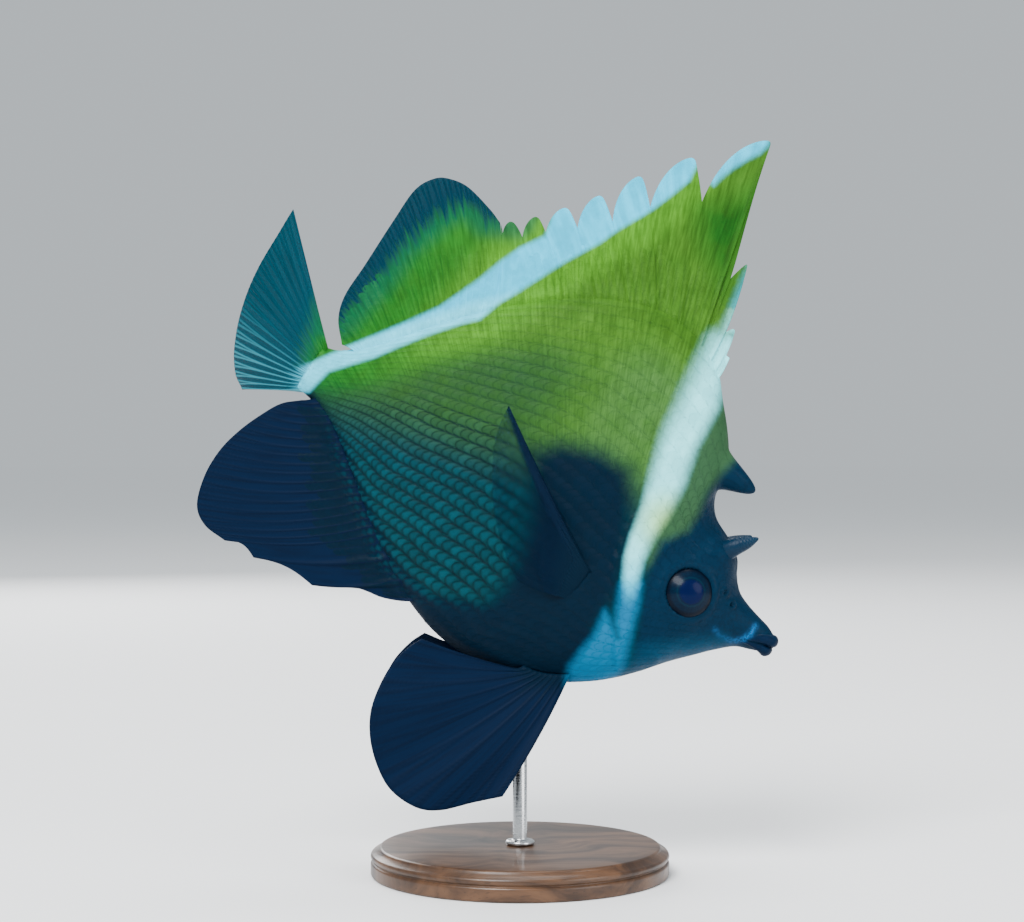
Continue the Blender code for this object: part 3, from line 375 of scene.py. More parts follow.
# Sizes in mm of what the pigments are broken by, and how far their edges wander
MOTTLE_SIZE, FLECK_SIZE = 5.0, 0.9
STREAK_WIDTH, STREAK_LENGTH = 0.75, 9
EDGE_WANDER = 0.14

# Radii in mm in the eye between which the pupil, the ring and the dark edge fade
PUPIL_EDGE, EYE_EDGE_FADE = (3.0, 3.8), (5.2, 6.2)
RING_FROM, RING_TO = (3.6, 3.9), (4.4, 3.9)

# Scales of the stand's wood grain, pores and brush lines, for each metre along x, y and z
GRAIN_SCALE, PORE_SCALE, BRUSH_SCALE = (10, 130, 130), (260, 2300, 2300), (250, 250, 5200)
FLOOR_FADE = (0.3, 2.6)

# Pigments, painted shade and painted highlights, linear
WHITE = (0.28, 0.92, 0.91)
COOL_WHITE = (0.001, 0.49, 0.74)
WARM_WHITE = (0.32, 0.60, 0.14)
OLIVE = (0.041, 0.127, 0.0100)
SUN = (0.070, 0.250, 0.0120)
LOW_OLIVE = (0.018, 0.064, 0.0180)
DUSTY_OLIVE = (0.045, 0.127, 0.0270)
# Painted shade on the spiny fin's leaves
LEAF_SHADE = (0.007, 0.070, 0.0060)
REAR = (0.009, 0.118, 0.0100)
MOTTLE = (0.020, 0.080, 0.0060)
NAPE = (0.023, 0.070, 0.0330)
DEEP = (0.0010, 0.026, 0.032)
# Dark pigment of the patch, also laid as painted shade outside the lit outline
INK_AND_SHADE = (0.0002, 0.0072, 0.018)
FACE = (0.0003, 0.0135, 0.033)
CHIN = (0.0005, 0.038, 0.080)
# White of the breast, darkened as painted shade
SHADED_BREAST_WHITE = (0.0006, 0.125, 0.260)
PLATE_HIGH = (0.016, 0.066, 0.036)
PLATE_LOW = (0.0025, 0.042, 0.058)
SHADE = (0.0003, 0.0025, 0.006)
# Dark scale margins with painted shade under the raised free edges
EDGE_LINE_AND_SHADE = (0.0006, 0.0080, 0.0130)
# Painted highlight on the mouth
MOUTH_HIGHLIGHT = (0.012, 0.15, 0.42)
TEAL = (0.0020, 0.072, 0.040)
# Painted highlight on the tail fin's rays
RAY_HIGHLIGHT = (0.030, 0.240, 0.300)
LIP = (0.0004, 0.007, 0.026)
SOFT_MARGIN = (0.0003, 0.024, 0.042)
TAIL_MARGIN = (0.0004, 0.038, 0.058)
DARK_MARGIN = (0.0003, 0.0066, 0.0240)
CLEAR_MARGIN = (0.0003, 0.0080, 0.025)
HORN_TIP = (0.001, 0.022, 0.048)
PUPIL = (0.0003, 0.0035, 0.030)
IRIS = ((0.0003, 0.0050, 0.0150), (0.0004, 0.0085, 0.022))
IRIS_RING = (0.003, 0.022, 0.040)
EYE_EDGE = (0.0003, 0.0025, 0.008)
WOOD = ((0.022, 0.010, 0.005), (0.110, 0.052, 0.024))
WOOD_PORE = (0.010, 0.005, 0.003)
STEEL = ((0.42, 0.43, 0.44), (0.62, 0.63, 0.64))
FLOOR = ((0.80, 0.81, 0.82), (0.83, 0.84, 0.85))
FLOOR_AWAY = (0.99, 0.99, 0.99)
SKY = (0.80, 0.87, 0.92, 1)

# Layers of pigment and painted shade in order: mask, where on its edge it starts and is full, strength and
# colour
GROUND_LAYERS = (
    ("sun", 0.0, 1.0, 0.8, SUN), ("low", 0.0, 1.0, 1.0, LOW_OLIVE), ("dusty", 0.0, 1.0, 1.0, DUSTY_OLIVE),
)
DARK_LAYERS = (
    ("nape", 0.0, 1.0, 0.9, NAPE), ("deep", 0.0, 1.0, 1.0, DEEP), ("ink", 0.1, 0.95, 1.0, INK_AND_SHADE),
    ("face", 0.2, 0.8, 1.0, FACE), ("chin", 0.15, 0.95, 1.0, CHIN), ("shaded_breast", 0.1, 0.95, 1.0, SHADED_BREAST_WHITE),
)

# Radius about the streaks' meeting point at which their spacing is measured
STREAK_RADIUS = 140.0

# Stand, and its base's mouldings from below: inset and height of the middle, radius, angles and steps
BASE_RADIUS = 42.0
BASE_THICKNESS = 8.0
BASE_FOOT_INSET, BASE_TOP_INSET = 1.2, 8
BASE_MOULDINGS = (
    (0.8, 0.8, 0.8, -90, 0, 8),
    (1.0, 3.2, 1.0, 0, 70, 8),
    (1.1, 5.4, 1.1, -60, 60, 10),
    (3.2, 7.1, 0.9, 10, 90, 8),
)
HOLE_GAP, HOLE_ROUNDING, HOLE_LIP = 0.3, 0.4, 0.1
RING_OUT, RING_UP, RING_RADIUS = 1.4, 0.75, 0.7
RING_NECK, ROD_TIP_ROUNDING = 0.6, 0.4
BASE_INMOST, ROD_INMOST = 0.5, 0.3
ROD_RADIUS = 2.0
ROD_LOW = 2.8
ROD_TOP = 72.5
BASE_TURNS, ROD_TURNS = 144, 64

# Studio: the point that the lights face, then each light's name, place and size in metres, and power
AIM = Vector((0, 0, 0.11))
LIGHTS = (
    ("key", (-0.50, -1.0, 1.25), 0.8, 46),
    ("fill", (1.2, -0.9, 0.55), 1.0, 14),
    ("top", (0.1, 0.25, 1.5), 1.0, 18),
    ("back", (-0.5, 1.2, 0.7), 0.8, 14),
)
SKY_STRENGTH = 0.72
FLOOR_RINGS_MM = np.array([(20.0, 0.0), (400.0, 0.0), (40000.0, 0.0)])
FLOOR_TURNS = 96

# Scales: the distance between rows, and how many rows the lattice lies below mid side, at x in mm
SCALE_PITCH = np.array([
    (-1, 1.3), (8, 1.6), (16, 2.15), (28, 2.8), (40, 3.4), (66, 4.1), (90, 4.0), (104, 3.3), (118, 2.6),
    (140, 1.8),
])
ROW_DROP = np.array([
    (-2, 4.4), (8, 4.3), (16, 4.1), (40, 3.8), (66, 2.1), (90, 0.4), (110, -0.8), (150, -2.4),
])
COLUMN_PER_PITCH = 0.32
ARC_STEPS = 512
SCALE_ROWS = (-44, 44)
MID_SIDE, EDGE_PITCHES = 0.25, 0.2
SCALE_STEPS = 7
SCALE_FRONT, SCALE_REAR = -2.4, 1.5
SCALE_CORNER = 1.3
SCALE_HALF_WIDTH, SCALE_TAPER, SCALE_ARCH = 0.60, 0.12, 0.8
SCALE_LIFT, SCALE_ROOT_DEPTH, SCALE_UNDERSIDE = 0.36, 0.10, -0.45
SCALE_SIZES, SCALE_STANDS, SCALE_TILTS, SCALE_TINTS = (0.95, 1.05), (0.85, 1.2), (-0.05, 0.05), (0, 1)
REFERENCE_PITCH = 3.4
BAKE_PATCH = 0.003
SCALE_SEED = 11

# How far the scales stand up, and what they keep clear of
SMOOTH_LIFT, NET_LIFT, LOW_LIFT = 0.16, 0.84, 0.34
NET_LIFT_Z = (34, 8)
CLEAR_OF_EYE, CLEAR_OF_HORN = 9.6, 5.2
SCALES_END_X, SCALES_END_SLOPE, SCALES_END_Z = 131.0, 0.35, -4
HUMP_SCALES_X, HUMP_CLEAR = 108, 0.5


def in_world(points):
    """Fish-frame millimetres as world metres: turned nose down about y, then moved to the tail base."""
    return (points @ TURN.T + TAIL_BASE) * MM


def in_fish(point):
    """One world place in metres as fish-frame millimetres."""
    return (np.array(point) / MM - TAIL_BASE) @ TURN


def from_photo(pixels):
    """Places in the fish's middle plane, x and z in mm, from pixels of the photograph."""
    across, down = (pixels - TAIL_BASE_PX).T * PIXEL_MM
    return (np.stack([across, 0 * across, -down], -1) @ TURN)[:, [0, 2]]


def smooth(value):
    """0 below 0, 1 above 1, and 3v^2 - 2v^3 between."""
    value = np.clip(value, 0, 1)
    return value * value * (3 - 2 * value)


def ease(value, span):
    """0 at the span's start and 1 at its end, which may be the lower one, with smooth() between."""
    return smooth((value - span[0]) / (span[1] - span[0]))


def between(ends, share):
    """From the first end at share 0 to the second at 1, in a straight line."""
    return ends[0] + (ends[1] - ends[0]) * share


def bell(offset, width):
    """1 in the middle, falling as exp(-(offset / width)^2)."""
    return np.exp(-((offset / width) ** 2))


def dome(distance, reach):
    """1 at the middle and 0 at the reach: (1 - r^2)^2."""
    return np.clip(1 - (distance / reach) ** 2, 0, 1) ** 2


def running(steps):
    """0 and the running sums of the steps."""
    return np.concatenate([[0], np.cumsum(steps)])


def spline(points, at):
    """Catmull-Rom curve through the points, read at parameters from 0 to the last point's number."""
    points = np.asarray(points, float)
    guides = np.concatenate([[2 * points[0] - points[1]], points, [2 * points[-1] - points[-2]]])
    at = np.clip(np.asarray(at, float), 0, len(points) - 1)
    start = np.minimum(at.astype(int), len(points) - 2)
    t = (at - start)[..., None]
    before, first, second, after = (guides[start + k] for k in range(4))
    return 0.5 * (
        2 * first
        + (second - before) * t
        + (2 * before - 5 * first + 4 * second - after) * t**2
        + (3 * first - before - 3 * second + after) * t**3
    )


def fine_spline(points, steps):
    """The whole Catmull-Rom curve through the points, as so many points of its own."""
    return spline(points, np.linspace(0, len(points) - 1, steps))


def line_lengths(line):
    """Distance along a line from its start to each of its points."""
    return running(np.linalg.norm(np.diff(line, axis=0), axis=1))


def read_line(line, length, at):
    """Places on a line at distances along it."""
    return np.stack([np.interp(at, length, axis) for axis in line.T], -1)


def along(points, share):
    """Places at shares of the length of a smooth curve through the points."""
    fine = fine_spline(points, CURVE_STEPS * len(points))
    length = line_lengths(fine)
    return read_line(fine, length, share * length[-1])


def station_line(x, column):
    """Height at x of the line through the stations, whose x is in the column and height in the next one."""
    order = np.argsort(STATIONS[:, column])
    return np.interp(x, STATIONS[order, column], STATIONS[order, column + 1])


def back_line(x):
    """Height of the body's back at x."""
    return station_line(x, 0)


def belly_line(x):
    """Height of the body's belly at x."""
    return station_line(x, 2)


def line_distance(places, line):
    """Least distance from each place to an open line of straight runs, and where on it, in numbered knots."""
    start, run = line[:-1], np.diff(line, axis=0)
    away = places[..., None, :] - start
    share = np.clip((away * run).sum(-1) / (run**2).sum(-1), 0, 1)
    distance = np.linalg.norm(away - share[..., None] * run, axis=-1)
    nearest = distance.argmin(-1)[..., None]
    knot = np.take_along_axis(share, nearest, -1)[..., 0] + nearest[..., 0]
    return np.take_along_axis(distance, nearest, -1)[..., 0], knot


def inside_distance(x, z, outline_px):
    """Distance in mm to a closed outline in pixels, positive inside.

    Inside is where a ray along x crosses the outline an odd number of times.
    """
    outline = from_photo(outline_px)
    closed = np.concatenate([outline, outline[:1]])
    near = line_distance(np.stack([x, z], -1), closed)[0]
    low, high = closed[:-1], closed[1:]
    level = z[..., None]
    spans = (low[:, 1] > level) != (high[:, 1] > level)
    rise = np.where(high[:, 1] == low[:, 1], 1e-9, high[:, 1] - low[:, 1])
    meets = low[:, 0] + (level - low[:, 1]) / rise * (high[:, 0] - low[:, 0])
    inside = (spans & (x[..., None] < meets)).sum(-1) % 2 == 1
    return np.where(inside, near, -near)


def side_distance(places, line):
    """Distance to an open line, positive on its left as it runs, and the place on it in numbered knots."""
    distance, knot = line_distance(places, line)
    part = np.minimum(knot.astype(int), len(line) - 2)
    run, away = np.diff(line, axis=0)[part], places - line[part]
    left = run[..., 0] * away[..., 1] - run[..., 1] * away[..., 0]
    return distance * np.where(left < 0, -1, 1), knot


def markings(x, z):
    """Masks of pigment, painted shade and painted highlights at places of the middle plane.

    A mask is 0.5 on its outline and runs to 0 and 1 over its softness, from the distance to the outline.
    """
    def mask(outline_px, softness):
        return np.clip(0.5 + inside_distance(x, z, outline_px) / softness, 0, 1)

    places = np.stack([x, z], -1)
    ahead, knot = side_distance(places, from_photo(FRONT_BAND_PX[:, :2]))
    half, fore_fade, rear_fade, strength = (
        np.interp(knot, np.arange(len(FRONT_BAND_PX)), part) for part in FRONT_BAND_PX[:, 2:].T
    )
    fade = np.where(ahead > 0, fore_fade, rear_fade)
    front = np.clip(0.5 + (half - np.abs(ahead)) / fade, 0, 1) * strength
    nape = ease(ahead, NAPE_FROM_BAND) * ease(z, NAPE_Z)
    mouth_highlight, bead = line_distance(places, from_photo(MOUTH_HIGHLIGHT_PX[:, :2]))
    shine = np.interp(bead, np.arange(len(MOUTH_HIGHLIGHT_PX)), MOUTH_HIGHLIGHT_PX[:, 2])
    in_band = inside_distance(x, z, REAR_BAND_PX)
    strip = STRIP_STRENGTH * mask(LEAF_STRIP_PX, STRIP_SOFT)
    rear = np.maximum(np.clip(0.5 + in_band / REAR_BAND_SOFT, 0, 1), strip)
    third = THIRD_LEAF_STRENGTH * mask(THIRD_LEAF_PX, THIRD_LEAF_SOFT)
    under_back = back_line(x) - z
    gold = inside_distance(x, z, SOFT_GOLD_PX)
    tint, meet = from_photo(YELLOW_TINT_PX)[0], from_photo(STREAKS_MEET_PX)[0]
    leaf_shadow = LEAF_SHADOW_STRENGTH * mask(LEAF_SHADOW_PX, LEAF_SHADOW_SOFT)
    front_cool = between(FRONT_COOL, ease(knot, COOL_KNOT))
    rear_cool = between(REAR_COOL, ease(under_back, COOL_OVER_BACK))
    return {
        "white": np.maximum(np.maximum(front, rear), third),
        "warm": dome(np.hypot(x - tint[0], z - tint[1]), YELLOW_TINT_REACH),
        "cool": np.where(ahead > FRONT_COOL_FROM, front_cool, rear_cool),
        "sun": ease(in_band, SUN_FROM_BAND) * ease(x, SUN_X),
        "low": ease(under_back, LOW_UNDER_BACK) * (1 - LOW_FADE * ease(x, LOW_FADE_X)),
        "dusty": ease(x, DUSTY_X) * ease(under_back, DUSTY_UNDER_BACK),
        # Painted shade in the crease under the back line
        "crease_shade": bell(under_back - CREASE_SHADE_DEPTH, CREASE_SHADE_WIDTH) * ease(x, CREASE_SHADE_X),
        "teal": ease(gold, TEAL_FROM_GOLD) * ease(under_back, TEAL_OVER_BACK) * ease(x, TEAL_X),
        # Painted shade on the spiny fin: the shadow behind the tallest leaf, and a faint darkening up the fin
        "leaf": leaf_shadow + (1 - LEAF_SHADOW_STRENGTH) * ease(z, LEAF_Z),
        "rear": ease(x, REAR_X),
        "nape": nape,
        "deep": ease(z - DEEP_SLOPE * x, DEEP_Z) * (1 - nape),
        # Painted highlight on the mouth, strongest in its middle
        "mouth_highlight": shine * bell(mouth_highlight, MOUTH_HIGHLIGHT_WIDTH),
        # Dark pigment of the patch, and painted shade outside the lit outline
        "ink": np.maximum(mask(PATCH_PX, PATCH_SOFT), ease(inside_distance(x, z, LIT_PX), SHADE_FROM_LIT)),
        "face": mask(FACE_PX, FACE_SOFT),
        "chin": mask(CHIN_PX, CHIN_SOFT),
        # The breast's white in painted shade
        "shaded_breast": mask(BREAST_PX, BREAST_SOFT),
        "net": smooth(mask(NET_PX, NET_SOFT)),
        "stria": np.arctan2(x - meet[0], z - meet[1]) * STREAK_RADIUS,
        "fall": np.hypot(x - meet[0], z - meet[1]),
    }


def new_piece(name, points, faces, masks, nodes, material, uv=None):
    """A mesh in world metres from points and face arrays, with masks on its points, riding on the root."""
    mesh = bpy.data.meshes.new(name)
    mesh.vertices.add(len(points))
    mesh.vertices.foreach_set("co", points.astype(np.float32).ravel())
    corners = np.concatenate([group.ravel() for group in faces]).astype(np.int32)
    sizes = np.concatenate([np.full(len(group), group.shape[1]) for group in faces])
    mesh.loops.add(len(corners))
    mesh.loops.foreach_set("vertex_index", corners)
    mesh.polygons.add(len(sizes))
    mesh.polygons.foreach_set("loop_start", (np.cumsum(sizes) - sizes).astype(np.int32))
    mesh.update(calc_edges=True)
    mesh.validate()
    for key, values in masks.items():
        layer = mesh.attributes.new(key, "FLOAT", "POINT")
        layer.data.foreach_set("value", np.broadcast_to(values, (len(points),)).astype(np.float32))
    if uv is not None:
        layer = mesh.uv_layers.new(name="OFBake")
        layer.data.foreach_set("uv", uv[corners].astype(np.float32).ravel())
    mesh.shade_smooth()
    mesh.materials.append(material)
    made = bpy.data.objects.new(name, mesh)
    bpy.context.scene.collection.objects.link(made)
    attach(made, "root")
    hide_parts(*nodes)


def grid_faces(columns, rows, closed=False):
    """Quads of a grid numbered row by row, and round the end of each row where it is closed."""
    number = np.arange(columns * rows).reshape(columns, rows)
    near, far = number[:-1], number[1:]
    if closed:
        return np.stack([near, np.roll(near, -1, 1), np.roll(far, -1, 1), far], -1).reshape(-1, 4)
    return np.stack([near[:, :-1], near[:, 1:], far[:, 1:], far[:, :-1]], -1).reshape(-1, 4)


def row_normals(grid):
    """Unit normals of a grid whose rows close on themselves, pointing out from each row's middle."""
    down = np.gradient(grid, axis=0)
    round_it = np.roll(grid, -1, 1) - np.roll(grid, 1, 1)
    normal = np.cross(round_it, down)
    normal /= np.maximum(np.linalg.norm(normal, axis=2), 1e-9)[..., None]
    outward = ((grid - grid.mean(1, keepdims=True)) * normal).sum(2, keepdims=True)
    return normal * np.where(outward.mean() < 0, -1, 1)


def body_grid():
    """The body without fins as rings from snout to tail.

    A ring runs from the back (turn 0) down the right side to the belly and up the left. Its height goes
    with (1 + cos turn) / 2 between back and belly, its width with |sin turn| ^ SECTION_POWER. The ends
    close in quarter ellipses.
    """
    rows = fine_spline(STATIONS, SKIN_ROWS)
    turn = np.linspace(0, 2 * np.pi, SKIN_TURNS, endpoint=False)
    up = (1 + np.cos(turn)) / 2
    out = -np.sign(np.sin(turn)) * np.abs(np.sin(turn)) ** SECTION_POWER
    back, belly, width = rows[:, 0:2], rows[:, 2:4], rows[:, 4]
    flat = belly[:, None] + (back - belly)[:, None] * up[None, :, None]
    rings = np.stack([flat[..., 0], width[:, None] * out[None], flat[..., 1]], -1)
    bend = (np.arange(1, CAP_ROWS) / CAP_ROWS * np.pi / 2)[:, None, None]
    caps = []
    for ring, length in ((rings[0], NOSE_LENGTH), (rings[-1], -TAIL_END_LENGTH)):
        middle = ring.mean(0)
        caps.append(middle + (ring - middle) * np.sin(bend) + np.cos(bend) * np.array([length, 0, 0]))
    return np.concatenate([caps[0], rings, caps[1][::-1]])


def eye_axis(side, name):
    """Middle of an eye's ball and the way it looks, from the solid's box and the eye's place."""
    low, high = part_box("eye_" + name)
    middle = in_fish((low + high) / 2)
    forward, upward = (EYE_PLACE - middle[[0, 2]]) / EYE_SUNK
    sideways = side * math.sqrt(1 - forward**2 - upward**2)
    return middle, np.array([forward, sideways, upward])


def eye_distance(points):
    """Distance of each point from the axis of the eye on its own side."""
    middle, axis = eye_axis(*SIDES[0])
    away = fold(points) - middle
    ahead = (away * axis).sum(-1)
    return np.where(ahead > EYE_BACK, np.linalg.norm(away - ahead[..., None] * axis, axis=-1), FAR)


def fold(points):
    """The points with those of the left side laid over the right one."""
    return np.stack([points[..., 0], -np.abs(points[..., 1]), points[..., 2]], -1)


def horn_distance(folded):
    """Distance of each point from the foot of the horn on its own side."""
    return np.linalg.norm(folded - HORN_LINE[0], axis=-1)


def hump_distance(y, z):
    """How far out of the nape hump a place is, with 1 on its edge."""
    return np.hypot(y / HUMP_REACH[0], (z - HUMP_MIDDLE_Z) / HUMP_REACH[1])


def lip_rise(folded):
    """Height of the higher lip over the skin: the top of a round tube along its line, soft at its foot."""
    rises = []
    for line in (LIP_UPPER, LIP_LOWER):
        distance, knot = line_distance(folded, fine_spline(line, LIP_STEPS))
        radius = np.interp(knot * (len(line) - 1) / (LIP_STEPS - 1), np.arange(len(line)), LIP_RADIUS)
        round_top = np.clip(1 - (distance / (LIP_FOOT * radius)) ** 2, 0, 1) ** LIP_POWER
        rises.append(LIP_HEIGHT * radius * round_top)
    return np.maximum(*rises)


def relief(points, normals):
    """The skin's points moved along its normals, and forwards for the nape hump."""
    folded = fold(points)
    x, y, z = folded[..., 0], folded[..., 1], folded[..., 2]
    from_eye = eye_distance(points)
    rise = RIM_HEIGHT * bell(from_eye - RIM_RADIUS, RIM_WIDTH) - SKIN_INSET
    rise -= SOCKET_DEPTH * ease(from_eye, SOCKET_EDGE)
    rise += HORN_FOOT_HEIGHT * dome(horn_distance(folded), HORN_FOOT_REACH)

    ahead = (x - np.interp(-z, -OPERCLE[:, 1], OPERCLE[:, 0])) * OPERCLE_SLOPE
    window = ease(z, OPERCLE_LOW_Z) * ease(z, OPERCLE_HIGH_Z)
    rise += OPERCLE_STEP * ease(ahead, OPERCLE_EDGE) * np.exp(-np.maximum(ahead, 0) / OPERCLE_FALL) * window
    cheek = line_distance(np.stack([x, z], -1), PREOPERCLE)[0]
    rise += PREOPERCLE_HEIGHT * bell(cheek, PREOPERCLE_WIDTH) * (y < PREOPERCLE_OUT)

    snout = x > SNOUT_X
    mouth = folded[snout]
    slit = line_distance(mouth, fine_spline(MOUTH_LINE, LIP_STEPS))[0]
    rise[snout] += lip_rise(mouth) - SLIT_DEPTH * bell(slit, SLIT_WIDTH)

    for x_hole, z_hole in NOSTRILS:
        away = np.where(y < NOSTRIL_OUT, np.hypot(x - x_hole, z - z_hole), FAR)
        rise += NOSTRIL_RIM * bell(away - NOSTRIL_RADIUS, NOSTRIL_RIM_WIDTH)
        rise -= NOSTRIL_DEPTH * bell(away, NOSTRIL_WIDTH)

    hump = dome(hump_distance(y, z), 1.0) * ease(x, HUMP_X)
    return points + normals * rise[..., None] + hump[..., None] * HUMP_PUSH


def body_skin(material):
    """One seamless skin over head, body and tail stalk, closed by a pole at each end."""
    base = body_grid()
    grid = relief(base, row_normals(base))
    points, faces = closed_tube(grid)
    nodes = ("head", "torso", "tail_stalk")
    new_piece("body_skin", in_world(points), faces, skin_masks(points), nodes, material)
    return base, grid


def skin_masks(points):
    """Markings at points of the skin, darker round the eye and on the lips."""
    masks = markings(points[:, 0], points[:, 2])
    snout = SNOUT_INK * ease(points[:, 0], SNOUT_INK_X)
    masks["ink"] = np.maximum(np.maximum(masks["ink"], ease(eye_distance(points), EYE_SURROUND)), snout)
    masks["lip"] = smooth(lip_rise(fold(points)) / LIP_INK_HEIGHT)
    return masks


class Coat:
    """The skin read by a column of scales, counted tailwards, and a row of them, counted down from mid side.

    The lattice is measured on the plain body and read from the skin with its relief.
    """

    def __init__(self, base, skin):
        rings = slice(CAP_ROWS - 1, CAP_ROWS - 1 + SKIN_ROWS)
        plain = np.concatenate([base[rings], base[rings, :1]], 1)
        both = np.concatenate([skin[rings], row_normals(skin)[rings]], 2)
        both = np.concatenate([both, both[:, :1]], 1)
        step = np.linalg.norm(np.diff(plain, axis=1), axis=2)
        length = np.concatenate([np.zeros((SKIN_ROWS, 1)), np.cumsum(step, 1)], 1)
        self.round_length = length[:, -1]
        lift = 2 * np.arange(SKIN_ROWS)[:, None]
        share = length / length[:, -1:] + lift
        even = np.linspace(0, 1, ARC_STEPS + 1) + lift
        table = [np.interp(even.ravel(), share.ravel(), both[..., k].ravel()) for k in range(6)]
        self.table = np.stack(table, -1).reshape(SKIN_ROWS, ARC_STEPS + 1, 6)
        middle = (plain[:, 0] + plain[:, SKIN_TURNS // 2]) / 2
        self.pitch = np.interp(middle[:, 0], *SCALE_PITCH.T)
        self.drop = np.interp(middle[:, 0], *fine_spline(ROW_DROP, 200).T)
        run = np.linalg.norm(np.diff(middle, axis=0), axis=1)
        self.columns = running(run / (COLUMN_PER_PITCH * self.pitch[1:]))

    def at_ring(self, ring, values):
        return np.interp(ring, np.arange(SKIN_ROWS), values)

    def ring(self, column):
        return np.interp(column, self.columns, np.arange(SKIN_ROWS))

    def read(self, column, row):
        """Point, normal, pitch and share of the ring for columns and rows of scales."""
        ring = self.ring(column)
        pitch = self.at_ring(ring, self.pitch)
        drop = self.at_ring(ring, self.drop)
        share = MID_SIDE + (row + drop) * pitch / self.at_ring(ring, self.round_length)
        both = bilinear(self.table, ring, (share % 1) * ARC_STEPS)
        return both[..., :3], both[..., 3:], pitch, share


class Sheet:
    """One face of a fin, read by a column of scales outwards from its root and a row of them along it."""

    def __init__(self, centre, half, side, pitch):
        normal = fin_normals(centre) * side
        self.table = np.concatenate([centre + normal * half[..., None], normal], 2)
        self.length = np.linalg.norm(np.diff(centre, axis=1), axis=2).sum(1)
        self.rows = line_lengths(centre[:, centre.shape[1] // 5]) / pitch
        self.pitch = pitch

    def read(self, column, row):
        """Point, normal, pitch and share of the fin's length for columns and rows of scales."""
        place = np.interp(row, self.rows, np.arange(len(self.rows)))
        length = np.interp(place, np.arange(len(self.length)), self.length)
        out = column * COLUMN_PER_PITCH * self.pitch / length
        both = bilinear(self.table, place, out * (self.table.shape[1] - 1))
        return both[..., :3], both[..., 3:], np.full(row.shape, self.pitch), out


def bilinear(table, first, second):
    """The table between its entries, held at its edges."""
    first = np.clip(first, 0, table.shape[0] - 1.001)
    second = np.clip(second, 0, table.shape[1] - 1.001)
    low, left = first.astype(int), second.astype(int)
    up, right = (first - low)[..., None], (second - left)[..., None]
    near = table[low, left] * (1 - right) + table[low, left + 1] * right
    far = table[low + 1, left] * (1 - right) + table[low + 1, left + 1] * right
    return near * (1 - up) + far * up


def scale_template():
    """One scale in lattice steps: column and row offsets, height, share to the rear and share across.

    The rear edge is a parabola, the front end is buried and the plate rises to its free rear edge.
    """
    back, across = np.meshgrid(np.linspace(0, 1, SCALE_STEPS), np.linspace(-1, 1, SCALE_STEPS), indexing="ij")
    column = SCALE_FRONT + (SCALE_REAR - SCALE_FRONT) * back - SCALE_CORNER * across**2 * back
    row = SCALE_HALF_WIDTH * across * (1 - SCALE_TAPER * back**2)
    height = (SCALE_LIFT + SCALE_ROOT_DEPTH) * back**0.9 * (1 - SCALE_ARCH * across**2) - SCALE_ROOT_DEPTH
    flat = [value.ravel() for value in (column, row, height, back, across)]
    under = (0.5 * (SCALE_FRONT + SCALE_REAR), 0.0, SCALE_UNDERSIDE, 0.5, 0.0)
    return [np.append(value, low) for value, low in zip(flat, under)]


def scale_faces():
    """Quads of the upper face, and triangles from its edge to the point under the plate."""
    number = np.arange(SCALE_STEPS * SCALE_STEPS).reshape(SCALE_STEPS, SCALE_STEPS)
    rim = np.concatenate([number[0, :-1], number[:-1, -1], number[-1, :0:-1], number[:0:-1, 0]])
    under = np.full(len(rim), SCALE_STEPS**2)
    return grid_faces(SCALE_STEPS, SCALE_STEPS), np.stack([rim, under, np.roll(rim, -1)], -1)[:, ::-1]


def lay_scales(name, read, column, row, lift, root, node, slot, material, mirrored=False):
    """One joined mesh of plates: the template at each column and row, read from a surface.

    Root is each plate's place on an unwrap of that surface, and lift scales its height in mm at the reference
    pitch.
    """
    d_column, d_row, height, back, across = scale_template()
    rng = np.random.default_rng(SCALE_SEED)
    size, stand, tilt, tint = (
        rng.uniform(*span, (len(column), 1)) for span in (SCALE_SIZES, SCALE_STANDS, SCALE_TILTS, SCALE_TINTS)
    )
    at_column = column[:, None] + d_column * size
    point, normal, pitch, _ = read(at_column, row[:, None] + d_row * size + tilt * d_column)
    height = np.where(height > 0, height * lift[:, None], height)
    point = point + normal * (height * stand * pitch / REFERENCE_PITCH)[..., None]
    first = (np.arange(len(column)) * len(back))[:, None, None]
    faces = [(group[None] + first).reshape(-1, group.shape[1]) for group in scale_faces()]
    flat = point.reshape(-1, 3)
    corner = flat[faces[0]]
    facing = np.cross(corner[:, 2] - corner[:, 0], corner[:, 3] - corner[:, 1])
    outwards = (facing * normal.reshape(-1, 3)[faces[0][:, 0]]).sum() > 0
    if outwards == mirrored:
        faces = [group[:, ::-1] for group in faces]
    masks = markings(flat[:, 0], flat[:, 2])
    masks["plate"] = np.tile(back, len(column))
    masks["across"] = np.tile(across, len(column))
    masks["tint"] = np.repeat(tint[:, 0], len(back))
    masks["relief"] = np.repeat(lift, len(back))
    uv = (root[:, None] + np.stack([back - 0.5, across / 2], -1) * BAKE_PATCH).reshape(-1, 2)
    if mirrored:
        flat, uv = flat * (1, -1, 1), np.stack([uv[:, 0], 1 - uv[:, 1]], -1)
    new_piece(name, in_world(flat), faces, masks, (node,), material, uv=uv)


def lattice(columns, rows):
    """Columns and rows of a staggered lattice: every second row is shifted by one column of two."""
    row, pair = np.meshgrid(np.arange(*rows), np.arange(*columns, 2), indexing="ij")
    return (pair + row % 2).ravel().astype(float), row.ravel().astype(float)


